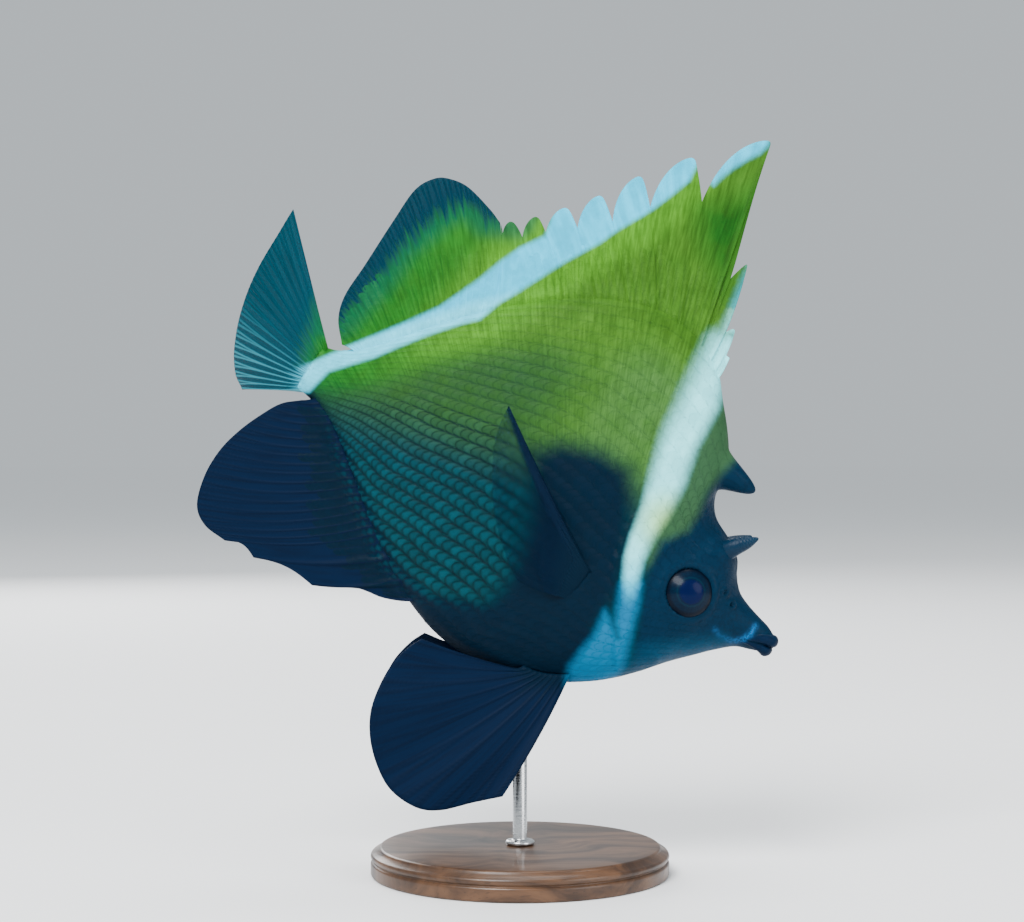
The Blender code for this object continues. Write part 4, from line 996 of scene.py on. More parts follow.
def scale_coats(base, skin, material):
    """Small overlapping plates in staggered rows over both sides, as joined meshes."""
    coat = Coat(base, skin)
    column, row = lattice((3, int(coat.columns[-1]) - 2), SCALE_ROWS)
    place, _, pitch, share = coat.read(column, row)
    ring = coat.ring(column)
    x, y, z = place.T
    edge = EDGE_PITCHES * pitch / coat.at_ring(ring, coat.round_length)
    kept = np.abs(share - MID_SIDE) < MID_SIDE - edge
    kept &= eye_distance(place) > CLEAR_OF_EYE
    kept &= x < SCALES_END_X + SCALES_END_SLOPE * (z - SCALES_END_Z)
    kept &= horn_distance(place) > CLEAR_OF_HORN
    kept &= hump_distance(y, z) + (x < HUMP_SCALES_X) > HUMP_CLEAR
    masks = markings(x, z)
    lift = SMOOTH_LIFT + np.maximum(NET_LIFT * masks["net"] * ease(z, NET_LIFT_Z), LOW_LIFT * masks["low"])
    ahead = x > np.interp(-z, -GILL_LINE[:, 1], GILL_LINE[:, 0])
    root = np.stack([ring / SKIN_ROWS, share], -1)
    for node, part in (
        ("head", ahead),
        ("torso", ~ahead & (x > TAIL_CUT_X)),
        ("tail_stalk", x <= TAIL_CUT_X),
    ):
        chosen = [values[part & kept] for values in (column, row, lift, root)]
        for mirrored, (_, side) in enumerate(SIDES):
            name = f"{node}_scales_{side}"
            lay_scales(name, coat.read, *chosen, node, node + "_skin", material, bool(mirrored))


def sheath_scales(node, centre, half, slot, material):
    """Rows of small plates that climb both faces of a fin from its root, to an uneven height."""
    reach, pitch, lift = SHEATHS[node]
    step = COLUMN_PER_PITCH * pitch
    for side, name in SIDES:
        sheet = Sheet(centre, half, side, pitch)
        column, row = lattice((2, int(max(reach) / step) + 2), (1, int(sheet.rows[-1])))
        out = sheet.read(column, row)[3]
        share = row / sheet.rows[-1]
        top = np.interp(share, np.linspace(0, 1, len(reach)), reach)
        top += sum(height * np.sin(row * speed) for height, speed in SHEATH_WAVES)
        kept = (column * step < top) & (out < SHEATH_LIMIT)
        root = np.stack([share, out], -1)[kept]
        fade = lift * ease((top - column * step)[kept], SHEATH_FADE)
        places = column[kept], row[kept], fade, root
        lay_scales(f"{node}_sheath_{name}", sheet.read, *places, node, slot, material)


def fin_normals(centre):
    """Unit normals of an open grid of middle points."""
    normal = np.cross(np.gradient(centre, axis=0), np.gradient(centre, axis=1))
    return normal / np.maximum(np.linalg.norm(normal, axis=2), 1e-9)[..., None]


def fin_piece(node, centre, half, masks, material, mirrored=False):
    """A closed fin: two faces half a thickness off the middle points, joined by a rim."""
    columns, rows = half.shape
    off = fin_normals(centre) * half[..., None]
    points = np.concatenate([centre + off, centre - off]).reshape(-1, 3)
    if mirrored:
        points = points * (1, -1, 1)
    upper = grid_faces(columns, rows)
    number = np.arange(2 * columns * rows).reshape(2, columns, rows)
    rim = np.concatenate(
        [number[:, :-1, 0].T, number[:, -1, :-1].T, number[:, :0:-1, -1].T, number[:, 0, :0:-1].T]
    )
    after = np.roll(rim, -1, axis=0)
    edge = np.stack([rim[:, 0], rim[:, 1], after[:, 1], after[:, 0]], -1)
    faces = facing_out(points, [np.concatenate([upper[:, ::-1], upper + columns * rows, edge])])
    painted = markings(points[:, 0], points[:, 2])
    painted.update({key: np.tile(value.ravel(), 2) for key, value in masks.items()})
    new_piece(node + "_web", in_world(points), faces, painted, (node,), material)


def fin_masks(centre, share, reach, ray, paint, pale=0.0):
    """Masks on a fin: rays, share of the way out, place among the rays, painted depth and painted highlights
    on rays.
    """
    values = {"ray": ray, "reach": reach, "ray_share": share[:, None], "paint": paint, "pale": pale}
    return {key: np.broadcast_to(value, centre.shape[:2]) for key, value in values.items()}


def fan(root, margin, rows, bow):
    """Middle points of a flat fin: each column runs from the root to the margin, bowed to the front.

    Bow is one number, or one for each column.
    """
    reach = np.linspace(0, 1, rows)
    chord = margin - root
    square = np.stack([-chord[:, 1], chord[:, 0]], -1)
    arch = np.multiply.outer(bow * np.ones(len(root)), 4 * reach * (1 - reach))
    flat = root[:, None] + chord[:, None] * reach[None, :, None] + square[:, None] * arch[..., None]
    return np.stack([flat[..., 0], np.zeros(flat.shape[:2]), flat[..., 1]], -1), reach


def ray_shares(rays, steps):
    """Shares of a fin's width at so many steps to each ray."""
    return np.linspace(0, 1, rays * steps + 1)


def soft_rays(share, reach, count):
    """Height of soft rays, 0 to 1: a bell over each ray's distance, in ray spacings.

    From the fork on a ray is two, drifting apart, and from the twig on each of them is two again.
    """
    phase = share[:, None] * count
    off = np.abs(phase - np.round(phase))
    off = np.abs(off - FORK * ease(reach, FORK_REACH))
    off = np.abs(off - TWIG * ease(reach, TWIG_REACH))
    return bell(off, between(RAY_WIDTH, reach))


def rayed_half(reach, ray):
    """Half thickness of a membrane with soft rays, both thinner towards the margin."""
    rise = ray * (RAY_HALF - MEMBRANE_HALF) * between(RAY_THINNING, reach)
    return MEMBRANE_HALF * between(MEMBRANE_THINNING, reach**2) + rise


def spine_rise(spine, reach, power):
    """Half thickness that spines add to the membrane, thinner towards the margin."""
    return spine * (SPINE_HALF - MEMBRANE_HALF) * (1 - reach) ** power


def fillet(centre, body_z, sign):
    """Extra half thickness where a fin leaves the body, falling as a bell over its height above the skin."""
    height = np.maximum((centre[..., 2] - body_z(centre[..., 0])) * sign, 0)
    return FILLET_SIZE * bell(height, FILLET_REACH)


def spiny_margin():
    """Margin and root of the spiny fin at even steps, with the step of each spine's tip.

    A leaf falls from its tip to a notch in a bowed curve, and the next leaf's front edge rises from there,
    bowed forward. A running mean rounds the tips and leaves the notches sharp.
    """
    margin, root_x, roundness = [], [], []
    fine = np.linspace(0, 1, LEAF_POINTS, endpoint=False)[:, None]
    for k, notch in enumerate(SPINE_NOTCHES):
        tip, after = SPINE_TIPS[k], SPINE_TIPS[k + 1]
        fall, rise = notch - tip, after - notch
        bulge = np.array([fall[1], -fall[0]]) * LEAF_BULGES[k]
        bow = np.array([rise[1], -rise[0]]) * LEAF_FRONT_BOWS[k]
        margin.append(tip + fall * fine**LEAF_FALL_POWER + bulge * fine * (1 - fine))
        margin.append(notch + rise * fine + bow * fine * (1 - fine))
        first, span = SPINE_ROOTS_X[k], SPINE_ROOTS_X[k + 1] - SPINE_ROOTS_X[k]
        root_x += [first + span * NOTCH_STEP * fine, first + span * (NOTCH_STEP + (1 - NOTCH_STEP) * fine)]
        roundness += [1 - fine, fine]
    margin = np.concatenate([*margin, SPINE_TIPS[-1:]])
    root_x = np.append(np.concatenate(root_x), SPINE_ROOTS_X[-1])
    roundness = np.append(np.concatenate(roundness), 1)
    length = line_lengths(margin)
    even = np.arange(0, length[-1], LEAF_STEP)
    margin = read_line(margin, length, even)
    roundness = np.interp(even, length, roundness)[:, None] ** 2
    window = np.hanning(LEAF_ROUNDING)
    padded = np.pad(margin, ((LEAF_ROUNDING // 2, LEAF_ROUNDING // 2), (0, 0)), mode="edge")
    rounded = np.stack([np.convolve(axis, window / window.sum(), mode="valid") for axis in padded.T], -1)
    margin = margin + (rounded - margin) * roundness
    tips = np.searchsorted(even, length[:: 2 * LEAF_POINTS]).clip(0, len(even) - 1)
    return margin, np.interp(even, length, root_x), tips


def spiny_dorsal(membrane, plates):
    """Eleven spines, each the front edge of a rounded leaf of membrane."""
    margin, root_x, tips = spiny_margin()
    root = np.stack([root_x, back_line(root_x) - ROOT_SINK], -1)
    length = np.linalg.norm(margin - root, axis=1) / LONGEST_SPINE
    centre, reach = fan(root, margin, FIN_ROWS, SPINE_BOW * np.clip((1 - length) / STRAIGHTENING_SHARE, 0, 1))
    near = np.zeros(centre.shape[:2])
    for tip in tips:
        strength = between((SHORT_SPINE_STRENGTH, 1), length[tip])
        away = np.linalg.norm(centre - centre[tip], axis=2)
        width = SPINE_WIDTH * strength * between(SPINE_NARROWING, reach)
        near = np.maximum(near, strength * bell(away, width))
    half = MEMBRANE_HALF * between(LEAF_THINNING, reach**3) + spine_rise(near, reach, DORSAL_SPINE_THINS)
    half = half + fillet(centre, back_line, 1)
    masks = fin_masks(centre, np.linspace(0, 1, len(margin)), reach, near, ALL_PAINTED)
    fin_piece("dorsal_fin_spiny", centre, half, masks, membrane)
    sheath_scales("dorsal_fin_spiny", centre, half, "spiny_fin", plates)


def soft_fin(
    node, root, margin, rays, slot, material, paint, extra,
    shape=None, bow=0.0, rows=FIN_ROWS, pale=0.0, lead=0.0,
):
    """A fin of branched soft rays between its root and its margin.

    Paint gives the painted depth, extra the half thickness on top of the rays', and shape bends the flat
    middle points. Up to the lead's share of its width, less towards the tip, the membrane is dense, and the
    rays beyond are faint.
    """
    share = np.linspace(0, 1, len(root))
    flat, reach = fan(root, margin, rows, bow)
    centre = shape(flat, share, reach) if shape else flat
    ray = soft_rays(share, reach, rays)
    half = rayed_half(reach, ray) + extra(centre, share, reach)
    if lead:
        dense = ease(lead * (1 - LEAD_NARROWING * reach) - share[:, None], LEAD_EDGE)
        ray = np.maximum(BEHIND_LEAD * ray, LEAD_DENSITY * dense)
    masks = fin_masks(centre, share, reach, ray, paint(flat, share[:, None], reach), pale * ray)
    fin_piece(node, centre, half, masks, material)
    return centre, half, masks


def soft_dorsal(membrane, plates):
    """Soft rays from the rear of the back, with a rounded upper lobe."""
    share = ray_shares(SOFT_DORSAL_RAYS, SOFT_DORSAL_RAY_STEPS)
    tuck = SOFT_DORSAL_TUCK * (1 - share) ** 8
    x = between(SOFT_DORSAL_ROOT_X, share) + tuck
    root = np.stack([x, back_line(x) - ROOT_SINK * between((1, ROOT_RISE), share)], -1)
    margin = along(SOFT_DORSAL_MARGIN, share)
    margin[:, 0] += tuck

    def base(centre, share, reach):
        return fillet(centre, back_line, 1)

    def gold(flat, share, reach):
        return inside_distance(flat[..., 0], flat[..., 2], SOFT_GOLD_PX)

    node = "dorsal_fin_soft"
    centre, half, _ = soft_fin(
        node, root, margin, SOFT_DORSAL_RAYS, "soft_fin", membrane, gold, base, bow=SOFT_DORSAL_BOW
    )
    sheath_scales(node, centre, half, "soft_fin", plates)


def anal(membrane, plates):
    """Three strong spines along the front, then soft rays with a rounded margin."""
    front = np.linspace(0, 1, ANAL_SPINE_STEPS, endpoint=False)
    soft = ray_shares(ANAL_RAYS, ANAL_RAY_STEPS)
    ends = [*ANAL_SPINE_TIPS, ANAL_MARGIN[0]]
    dip = np.array([0, ANAL_NOTCH]) * np.sin(np.pi * front)[:, None]
    margin = [ends[k] + (ends[k + 1] - ends[k]) * front[:, None] + dip for k in range(ANAL_SPINES)]
    margin = np.concatenate([*margin, along(ANAL_MARGIN, soft)])
    spined = ANAL_SPINES * ANAL_SPINE_STEPS
    front_share = ANAL_SPINES * ANAL_SPINE_SHARE
    share = np.linspace(0, front_share, spined, endpoint=False)
    share = np.append(share, between((front_share, 1), soft))
    x = between(ANAL_ROOT_X, share)
    root = np.stack([x, belly_line(x) + ROOT_SINK * between((1, ROOT_RISE), share)], -1)
    centre, reach = fan(root, margin, FIN_ROWS, ANAL_BOW)
    count = ANAL_SPINES + ANAL_RAYS
    among = np.append(np.linspace(0, ANAL_SPINES, spined, endpoint=False), ANAL_SPINES + soft * ANAL_RAYS)
    ray_share = among / count
    ray = soft_rays(ray_share, reach, count) * (np.arange(len(share)) >= spined)[:, None]
    spine = np.zeros_like(ray)
    for k in range(ANAL_SPINES):
        away = np.linalg.norm(centre - centre[ANAL_SPINE_STEPS * k], axis=2)
        spine = np.maximum(spine, bell(away, between(ANAL_SPINE_WIDTH, reach)))
    half = rayed_half(reach, ray) + fillet(centre, belly_line, -1)
    half += spine_rise(spine, reach, ANAL_SPINE_THINS)
    masks = fin_masks(centre, ray_share, reach, np.maximum(ray, spine), UNPAINTED)
    fin_piece("anal_fin", centre, half, masks, membrane)
    sheath_scales("anal_fin", centre, half, "anal_fin_skin", plates)


def caudal(membrane):
    """A spread tail fin whose lower rays swing to the far side, more so towards the lower edge."""
    share = ray_shares(CAUDAL_RAYS, CAUDAL_RAY_STEPS)

    def swung(centre, share, reach):
        swing = between(CAUDAL_SWING, smooth(share))
        lean = swing[:, None] * (CAUDAL_LEAN_AT_ROOT + CAUDAL_LEAN_GAIN * reach)
        step = np.diff(centre, axis=1)
        length = np.linalg.norm(step, axis=2)
        middle = (lean[:, 1:] + lean[:, :-1]) / 2
        moved = step * np.cos(middle)[..., None]
        moved[..., 1] = length * np.sin(middle)
        return np.concatenate([centre[:, :1], centre[:, :1] + np.cumsum(moved, axis=1)], axis=1)

    def base(centre, share, reach):
        return CAUDAL_FOOT * bell(reach, CAUDAL_FOOT_REACH)

    def gold(flat, share, reach):
        return (between(CAUDAL_PAINT, share) - reach) * CAUDAL_LENGTH

    # The lower lobe's rays get painted highlights
    soft_fin(
        "caudal_fin", along(CAUDAL_ROOT, share), along(CAUDAL_MARGIN, share), CAUDAL_RAYS, "caudal_membrane",
        membrane, gold, base, swung, pale=CAUDAL_RAY_HIGHLIGHT * ease(share[:, None], CAUDAL_RAY_HIGHLIGHT_SHARE),
    )


def both_fins(name, root, margin, rays, slot, material, *forms, **options):
    """The right fin of a pair, and the left one as its mirror image."""
    options["rows"] = PAIRED_FIN_ROWS
    centre, half, masks = soft_fin(name + "_right", root, margin, rays, slot, material, *forms, **options)
    fin_piece(name + "_left", centre, half, masks, material, mirrored=True)


def pelvic(membrane):
    """A spine in front and a wide fan of rays, splayed outwards."""
    share = ray_shares(PELVIC_RAYS, PELVIC_RAY_STEPS)

    def splayed(centre, share, reach):
        drop = np.linalg.norm(centre - centre[:, :1], axis=2)
        ripple = PELVIC_RIPPLE * np.sin(share * PELVIC_WAVES * 2 * np.pi)[:, None] * reach
        return np.stack([centre[..., 0], ripple - PELVIC_ROOT_OUT - PELVIC_SPLAY * drop, centre[..., 2]], -1)

    def spine(centre, share, reach):
        front = bell(share[:, None] * PELVIC_RAYS, PELVIC_SPINE_WIDTH)
        return spine_rise(front, reach, PELVIC_SPINE_THINS) + PELVIC_FOOT * bell(reach, PELVIC_FOOT_REACH)

    def root_only(flat, share, reach):
        return (PELVIC_PAINT - reach) * PELVIC_LENGTH

    both_fins(
        "pelvic_fin", along(PELVIC_ROOT, share), along(PELVIC_MARGIN, share), PELVIC_RAYS, "pelvic_fin_skin",
        membrane, root_only, spine, splayed, bow=PELVIC_BOW,
    )


def pectoral(membrane, skin):
    """A fan folded back along the flank and standing off it."""
    share = ray_shares(PECTORAL_RAYS, PECTORAL_RAY_STEPS)
    right = skin[:, : SKIN_TURNS // 2 + 1].reshape(-1, 3)
    knots = np.linspace(0, 1, 12)
    places = along(PECTORAL_ROOT, knots)
    nearest = np.linalg.norm(right[None, :, [0, 2]] - places[:, None], axis=2).argmin(1)
    side = np.interp(share, knots, right[nearest, 1])

    def standing_off(centre, share, reach):
        drop = np.linalg.norm(centre - centre[:, :1], axis=2)
        out = PECTORAL_STAND_OFF * drop * (1 - PECTORAL_LYING_BACK * reach)
        out += PECTORAL_RISE * (1 - np.exp(-drop / PECTORAL_RISE_REACH))
        ripple = PECTORAL_RIPPLE * np.sin(share * PECTORAL_RAYS * 2 * np.pi)[:, None] * reach
        return np.stack([centre[..., 0], side[:, None] + PECTORAL_SINK - out + ripple, centre[..., 2]], -1)

    def base(centre, share, reach):
        edge = between(PECTORAL_EDGE, reach) * bell(share[:, None] * PECTORAL_RAYS, PECTORAL_EDGE_WIDTH)
        ridges = (RAY_HALF - MEMBRANE_HALF) * soft_rays(share, reach, PECTORAL_RAYS)
        smoothed = PECTORAL_SMOOTHING * ridges * bell(reach, PECTORAL_SMOOTH_REACH)
        return edge + PECTORAL_FOOT * bell(reach, PECTORAL_FOOT_REACH) - smoothed

    def root_only(flat, share, reach):
        return (PECTORAL_PAINT - reach) * PECTORAL_LENGTH

    both_fins(
        "pectoral_fin", along(PECTORAL_ROOT, share), along(PECTORAL_MARGIN, share), PECTORAL_RAYS,
        "pectoral_membrane", membrane, root_only, base, standing_off, bow=PECTORAL_BOW,
        lead=PECTORAL_LEAD,
    )


def eye(side, name, material):
    """An oblate ball round the eye's axis, as deep as the polar angle's cosine, and a low cornea."""
    middle, axis = eye_axis(side, name)
    beside = np.cross(axis, (0, 0, 1))
    beside /= np.linalg.norm(beside)
    above = np.cross(beside, axis)
    polar = np.linspace(0, np.pi, EYE_ROWS + 2)[1:-1, None]
    turn = np.linspace(0, 2 * np.pi, EYE_TURNS, endpoint=False)[None]
    cornea = CORNEA_HEIGHT * np.exp(-((polar / CORNEA_ANGLE) ** 4))
    out = (EYE_DEPTH * np.cos(polar) + cornea) * np.ones_like(turn)
    across, up = EYE_RADIUS * np.sin(polar) * np.cos(turn), EYE_RADIUS * np.sin(polar) * np.sin(turn)
    ball = middle + out[..., None] * axis + across[..., None] * beside + up[..., None] * above
    points, faces = closed_tube(ball)
    away = points - middle
    ahead = away @ axis
    radius = np.linalg.norm(away - ahead[:, None] * axis, axis=1)
    spoke = np.append(np.broadcast_to(turn, ball.shape[:2]).ravel(), [0, 0])
    masks = {"radius": np.where(ahead > 0, radius, EYE_REAR_MARK), "spoke": np.sin(spoke * EYE_SPOKES)}
    new_piece(name + "_eyeball", in_world(points), faces, masks, ("eye_" + name,), material)


def tube(line, radius, turns):
    """A round tube as rings square to a line."""
    run = np.gradient(line, axis=0)
    run /= np.linalg.norm(run, axis=1)[:, None]
    beside = np.cross(run, (0, 1, 0))
    beside /= np.linalg.norm(beside, axis=1)[:, None]
    above = np.cross(run, beside)
    turn = np.linspace(0, 2 * np.pi, turns, endpoint=False)
    ring = np.cos(turn)[:, None, None] * beside + np.sin(turn)[:, None, None] * above
    return np.swapaxes(line[None] + ring * radius[:, None], 0, 1)


def facing_out(points, faces):
    """The faces, turned over where the volume inside, in tetrahedra to the origin, comes out negative."""
    volume = 0.0
    for group in faces:
        corner = points[group]
        for k in range(1, group.shape[1] - 1):
            volume += (corner[:, 0] * np.cross(corner[:, k], corner[:, k + 1])).sum()
    return faces if volume > 0 else [group[:, ::-1] for group in faces]


def closed_tube(grid):
    """Points and faces of rings with a pole in the middle of each end, facing outwards."""
    rows, turns = grid.shape[:2]
    points = np.concatenate([grid.reshape(-1, 3), [grid[0].mean(0), grid[-1].mean(0)]])
    first, last = np.arange(turns), np.arange(turns) + (rows - 1) * turns
    faces = [
        grid_faces(rows, turns, closed=True),
        np.stack([np.full(turns, rows * turns), np.roll(first, -1), first], -1),
        np.stack([np.full(turns, rows * turns + 1), last, np.roll(last, -1)], -1),
    ]
    return points, facing_out(points, faces)


def horns(material):
    """A stout spike over each eye, which shrinks along its line to a blunt tip."""
    last = len(HORN_LINE) - 1
    at = np.linspace(0, last, HORN_ROWS)
    line = spline(HORN_LINE, at)
    line[:, 1] += HORN_IN + HORN_FOOT_IN * (1 - at / HORN_FOOT_KNOTS).clip(0) ** 1.5
    past = ((at - HORN_BLUNT_FROM) / (last - HORN_BLUNT_FROM)).clip(0)
    radius = HORN_SWELL * spline(HORN_RADIUS[:, None], at)[:, 0] * np.sqrt(np.clip(1 - past**2, 0.01, 1))
    right = tube(line, radius, HORN_TURNS)
    for side, name in SIDES:
        points, faces = closed_tube(right * (1, -side, 1))
        masks = markings(points[:, 0], points[:, 2])
        masks["tip"] = np.append(np.repeat(at / last, HORN_TURNS), [0, 1])
        nodes = ("horn_" + name,)
        new_piece(name + "_horn_spike", in_world(points), faces, masks, nodes, material)


def turned(profile, turns):
    """Rings of a turned shape from its profile of radius and height, in world millimetres."""
    turn = np.linspace(0, 2 * np.pi, turns, endpoint=False)
    radius, height = profile[:, :1], profile[:, 1:]
    return np.stack([radius * np.cos(turn), radius * np.sin(turn), height * np.ones_like(turn)], -1)


def arc(middle, radius, start, end, steps):
    """Points of a circle's arc in a profile, angles in degrees."""
    angle = np.radians(np.linspace(start, end, steps))
    return np.array(middle) + radius * np.stack([np.cos(angle), np.sin(angle)], -1)


def turned_piece(name, profile, turns, node, material):
    """A closed turned piece from the runs and arcs of its profile."""
    points, faces = closed_tube(turned(np.concatenate(profile), turns))
    new_piece(name, points * MM, faces, {}, (node,), material)


def stand(wood, steel):
    """The turned wood base with its edge moulding, and the rod with a small foot ring."""
    top, hole = BASE_THICKNESS, ROD_RADIUS + HOLE_GAP
    low, high = ROD_LOW - HOLE_GAP, ROD_TOP - ROD_TIP_ROUNDING
    base = [
        [(BASE_INMOST, 0.0), (BASE_RADIUS - BASE_FOOT_INSET, 0.0)],
        *(arc((BASE_RADIUS - inset, height), *bend) for inset, height, *bend in BASE_MOULDINGS),
        [(BASE_RADIUS - BASE_TOP_INSET, top), (hole + HOLE_ROUNDING + HOLE_LIP, top)],
        arc((hole + HOLE_ROUNDING, top - HOLE_ROUNDING), HOLE_ROUNDING, 90, 180, 5),
        [(hole, low), (BASE_INMOST, low)],
    ]
    neck = top + RING_UP + RING_RADIUS + RING_NECK
    rod = [
        [(ROD_INMOST, ROD_LOW), (ROD_RADIUS, ROD_LOW), (ROD_RADIUS, top + RING_UP - RING_RADIUS)],
        arc((ROD_RADIUS + RING_OUT, top + RING_UP), RING_RADIUS, -90, 90, 10),
        arc((ROD_RADIUS + RING_NECK, neck), RING_NECK, -90, -180, 6),
        [(ROD_RADIUS, high)],
        arc((ROD_RADIUS - ROD_TIP_ROUNDING, high), ROD_TIP_ROUNDING, 0, 90, 5),
        [(ROD_INMOST, ROD_TOP)],
    ]
    turned_piece("turned_base", base, BASE_TURNS, "stand_base", wood)
    turned_piece("polished_rod", rod, ROD_TURNS, "stand_rod", steel)


class Nodes:
    """One material's shader nodes: a socket given as an input is linked, anything else is its value."""

    def __init__(self, name, roughness, metallic=0.0, coat=0.0, specular=0.5, coat_roughness=0.12):
        self.material = bpy.data.materials.new(name)
        self.material.use_nodes = True
        self.tree = self.material.node_tree
        self.shader = self.tree.nodes["Principled BSDF"]
        for key, value in (
            ("Roughness", roughness),
            ("Metallic", metallic),
            ("Coat Weight", coat),
            ("Coat Roughness", coat_roughness),
            ("Specular IOR Level", specular),
        ):
            self.shader.inputs[key].default_value = value

    def finish(self, colour, normal=None, roughness=None):
        """Links what changes over the surface to the shader, and gives the material."""
        for key, value in (("Base Color", colour), ("Roughness", roughness), ("Normal", normal)):
            if value is not None:
                self.link(value, self.shader.inputs[key])
        return self.material

    def add(self, kind, inputs=(), **settings):
        made = self.tree.nodes.new("ShaderNode" + kind)
        for key, value in settings.items():
            setattr(made, key, value)
        for key, value in dict(inputs).items():
            self.link(value, made.inputs[key])
        return made

    def link(self, value, socket):
        if isinstance(value, bpy.types.NodeSocket):
            self.tree.links.new(value, socket)
        elif isinstance(value, tuple) and len(value) == 3 and socket.type == "RGBA":
            socket.default_value = (*value, 1)
        else:
            socket.default_value = value

    def mask(self, name):
        return self.add("Attribute", attribute_name=name).outputs["Fac"]

    def math(self, operation, first, second=0.0, clamp=False):
        return self.add("Math", {0: first, 1: second}, operation=operation, use_clamp=clamp).outputs[0]

    def times(self, first, *others):
        for other in others:
            first = self.math("MULTIPLY", first, other)
        return first

    def plus(self, first, second):
        return self.math("ADD", first, second)

    def off(self, value, middle):
        """How far the value lies over the middle."""
        return self.math("SUBTRACT", value, middle)

    def wave(self, value, speed):
        return self.math("SINE", self.times(value, speed))

    def mix(self, factor, first, second, blend="MIX"):
        made = self.add("Mix", {0: factor, 6: first, 7: second}, data_type="RGBA", blend_type=blend)
        return made.outputs[2]

    def shaded(self, colour, value):
        """The colour times a grey of that value."""
        grey = self.add("CombineColor", {0: value, 1: value, 2: value}).outputs[0]
        return self.mix(1.0, colour, grey, blend="MULTIPLY")

    def ramp(self, value, low, high, to_low=0.0, to_high=1.0, ease="SMOOTHSTEP"):
        """The value eased from one range to another."""
        inputs = {"Value": value, "From Min": low, "From Max": high, "To Min": to_low, "To Max": to_high}
        return self.add("MapRange", inputs, interpolation_type=ease).outputs[0]

    def object_place(self):
        return self.add("TexCoord").outputs["Object"]

    def scaled(self, place, scale):
        return self.add("Mapping", {"Vector": place, "Scale": scale}).outputs[0]

    def fish_place(self, stretch):
        """Object coordinates in mm along the fish's own axes, stretched by a factor each way."""
        turned_back = self.add("Mapping", {"Vector": self.object_place(), "Rotation": (0, -PITCH_DOWN, 0)})
        return self.scaled(turned_back.outputs[0], tuple(1 / (MM * s) for s in stretch))

    def noise_at(self, place, scale=1.0, detail=3.0, rough=0.5, output="Fac"):
        inputs = {"Vector": place, "Scale": scale, "Detail": detail, "Roughness": rough}
        return self.add("TexNoise", inputs).outputs[output]

    def noise(self, size, stretch=(1.0, 1.0, 1.0), detail=3.0):
        """Noise whose lumps are about the size in mm."""
        return self.noise_at(self.fish_place(stretch), 1 / size, detail, 0.55)

    def streaks(self, across, down):
        """Noise drawn out into streaks by two coordinates."""
        return self.noise_at(self.add("CombineXYZ", {0: across, 1: down}).outputs[0])

    def bump(self, height, distance, strength=1.0, under=None):
        inputs = {"Height": height, "Distance": distance * MM, "Strength": strength}
        if under is not None:
            inputs["Normal"] = under
        return self.add("Bump", inputs).outputs[0]


def pigment(nodes):
    """The fish's colours and painted shade from its masks, with soft mottling, fine streaks on the back and
    uneven edges.
    """
    mottle = nodes.noise(MOTTLE_SIZE)
    fleck = nodes.noise(FLECK_SIZE, detail=4.0)
    ragged = nodes.times(nodes.off(fleck, 0.5), EDGE_WANDER)

    def edge(name, low, high, strength=1.0):
        return nodes.ramp(nodes.plus(nodes.mask(name), ragged), low, high, 0.0, strength)

    def lay(layers, colour):
        for name, low, high, strength, tone in layers:
            colour = nodes.mix(edge(name, low, high, strength), colour, tone)
        return colour

    colour = lay(GROUND_LAYERS, nodes.mix(nodes.mask("rear"), OLIVE, REAR))
    # Painted shade on the spiny fin's leaves
    colour = nodes.mix(nodes.mask("leaf"), colour, LEAF_SHADE)
    colour = nodes.mix(nodes.ramp(mottle, 0.35, 0.75, 0.0, 0.4), colour, MOTTLE)
    colour = nodes.mix(edge("teal", 0.0, 1.0, 0.65), colour, TEAL)
    across = nodes.times(nodes.mask("stria"), 1 / STREAK_WIDTH)
    down = nodes.times(nodes.mask("fall"), 1 / STREAK_LENGTH)
    stria = nodes.streaks(across, down)
    high = nodes.ramp(nodes.mask("low"), 0.0, 1.0, 1.0, 0.3)
    faded = nodes.times(nodes.ramp(stria, 0.28, 0.72, -0.22, 0.24), high)
    # Painted shade in the crease under the back line, multiplied in with the streaks
    crease_shade = nodes.ramp(nodes.mask("crease_shade"), 0.0, 1.0, 1.0, 0.87)
    colour = nodes.shaded(colour, nodes.times(nodes.plus(faded, 1.0), crease_shade))
    colour = lay(DARK_LAYERS, colour)
    white = nodes.mix(nodes.mask("cool"), WHITE, COOL_WHITE)
    white = nodes.mix(nodes.times(nodes.mask("warm"), 0.85), white, WARM_WHITE)
    white = nodes.shaded(white, nodes.ramp(mottle, 0.3, 0.7, 0.90, 1.04))
    return nodes.mix(edge("white", 0.12, 0.92), colour, white), fleck, mottle


def dark_part(nodes):
    """1 off the pale bands and 0 on them."""
    return nodes.math("SUBTRACT", 1.0, nodes.mask("white"), clamp=True)


def skin_material():
    """Fine leathery skin that shows between the scales and on the snout."""
    nodes = Nodes("skin", 0.42, specular=0.05)
    colour, fleck, mottle = pigment(nodes)
    colour = nodes.mix(nodes.times(nodes.mask("lip"), 0.75), colour, LIP)
    colour = nodes.mix(nodes.ramp(fleck, 0.35, 0.7, 0.0, 0.3), colour, SHADE)
    # Painted highlight on the mouth, broken up by the flecks
    broken = nodes.times(nodes.mask("mouth_highlight"), nodes.ramp(fleck, 0.38, 0.60, 0.25, 1.0))
    colour = nodes.mix(broken, colour, MOUTH_HIGHLIGHT)
    folds = nodes.bump(nodes.noise(1.6, stretch=(1.0, 1.0, 0.5)), 0.12)
    pores = nodes.bump(nodes.noise(0.35, detail=2.0), 0.05, under=folds)
    return nodes.finish(colour, pores, nodes.ramp(mottle, 0.3, 0.7, 0.34, 0.5))


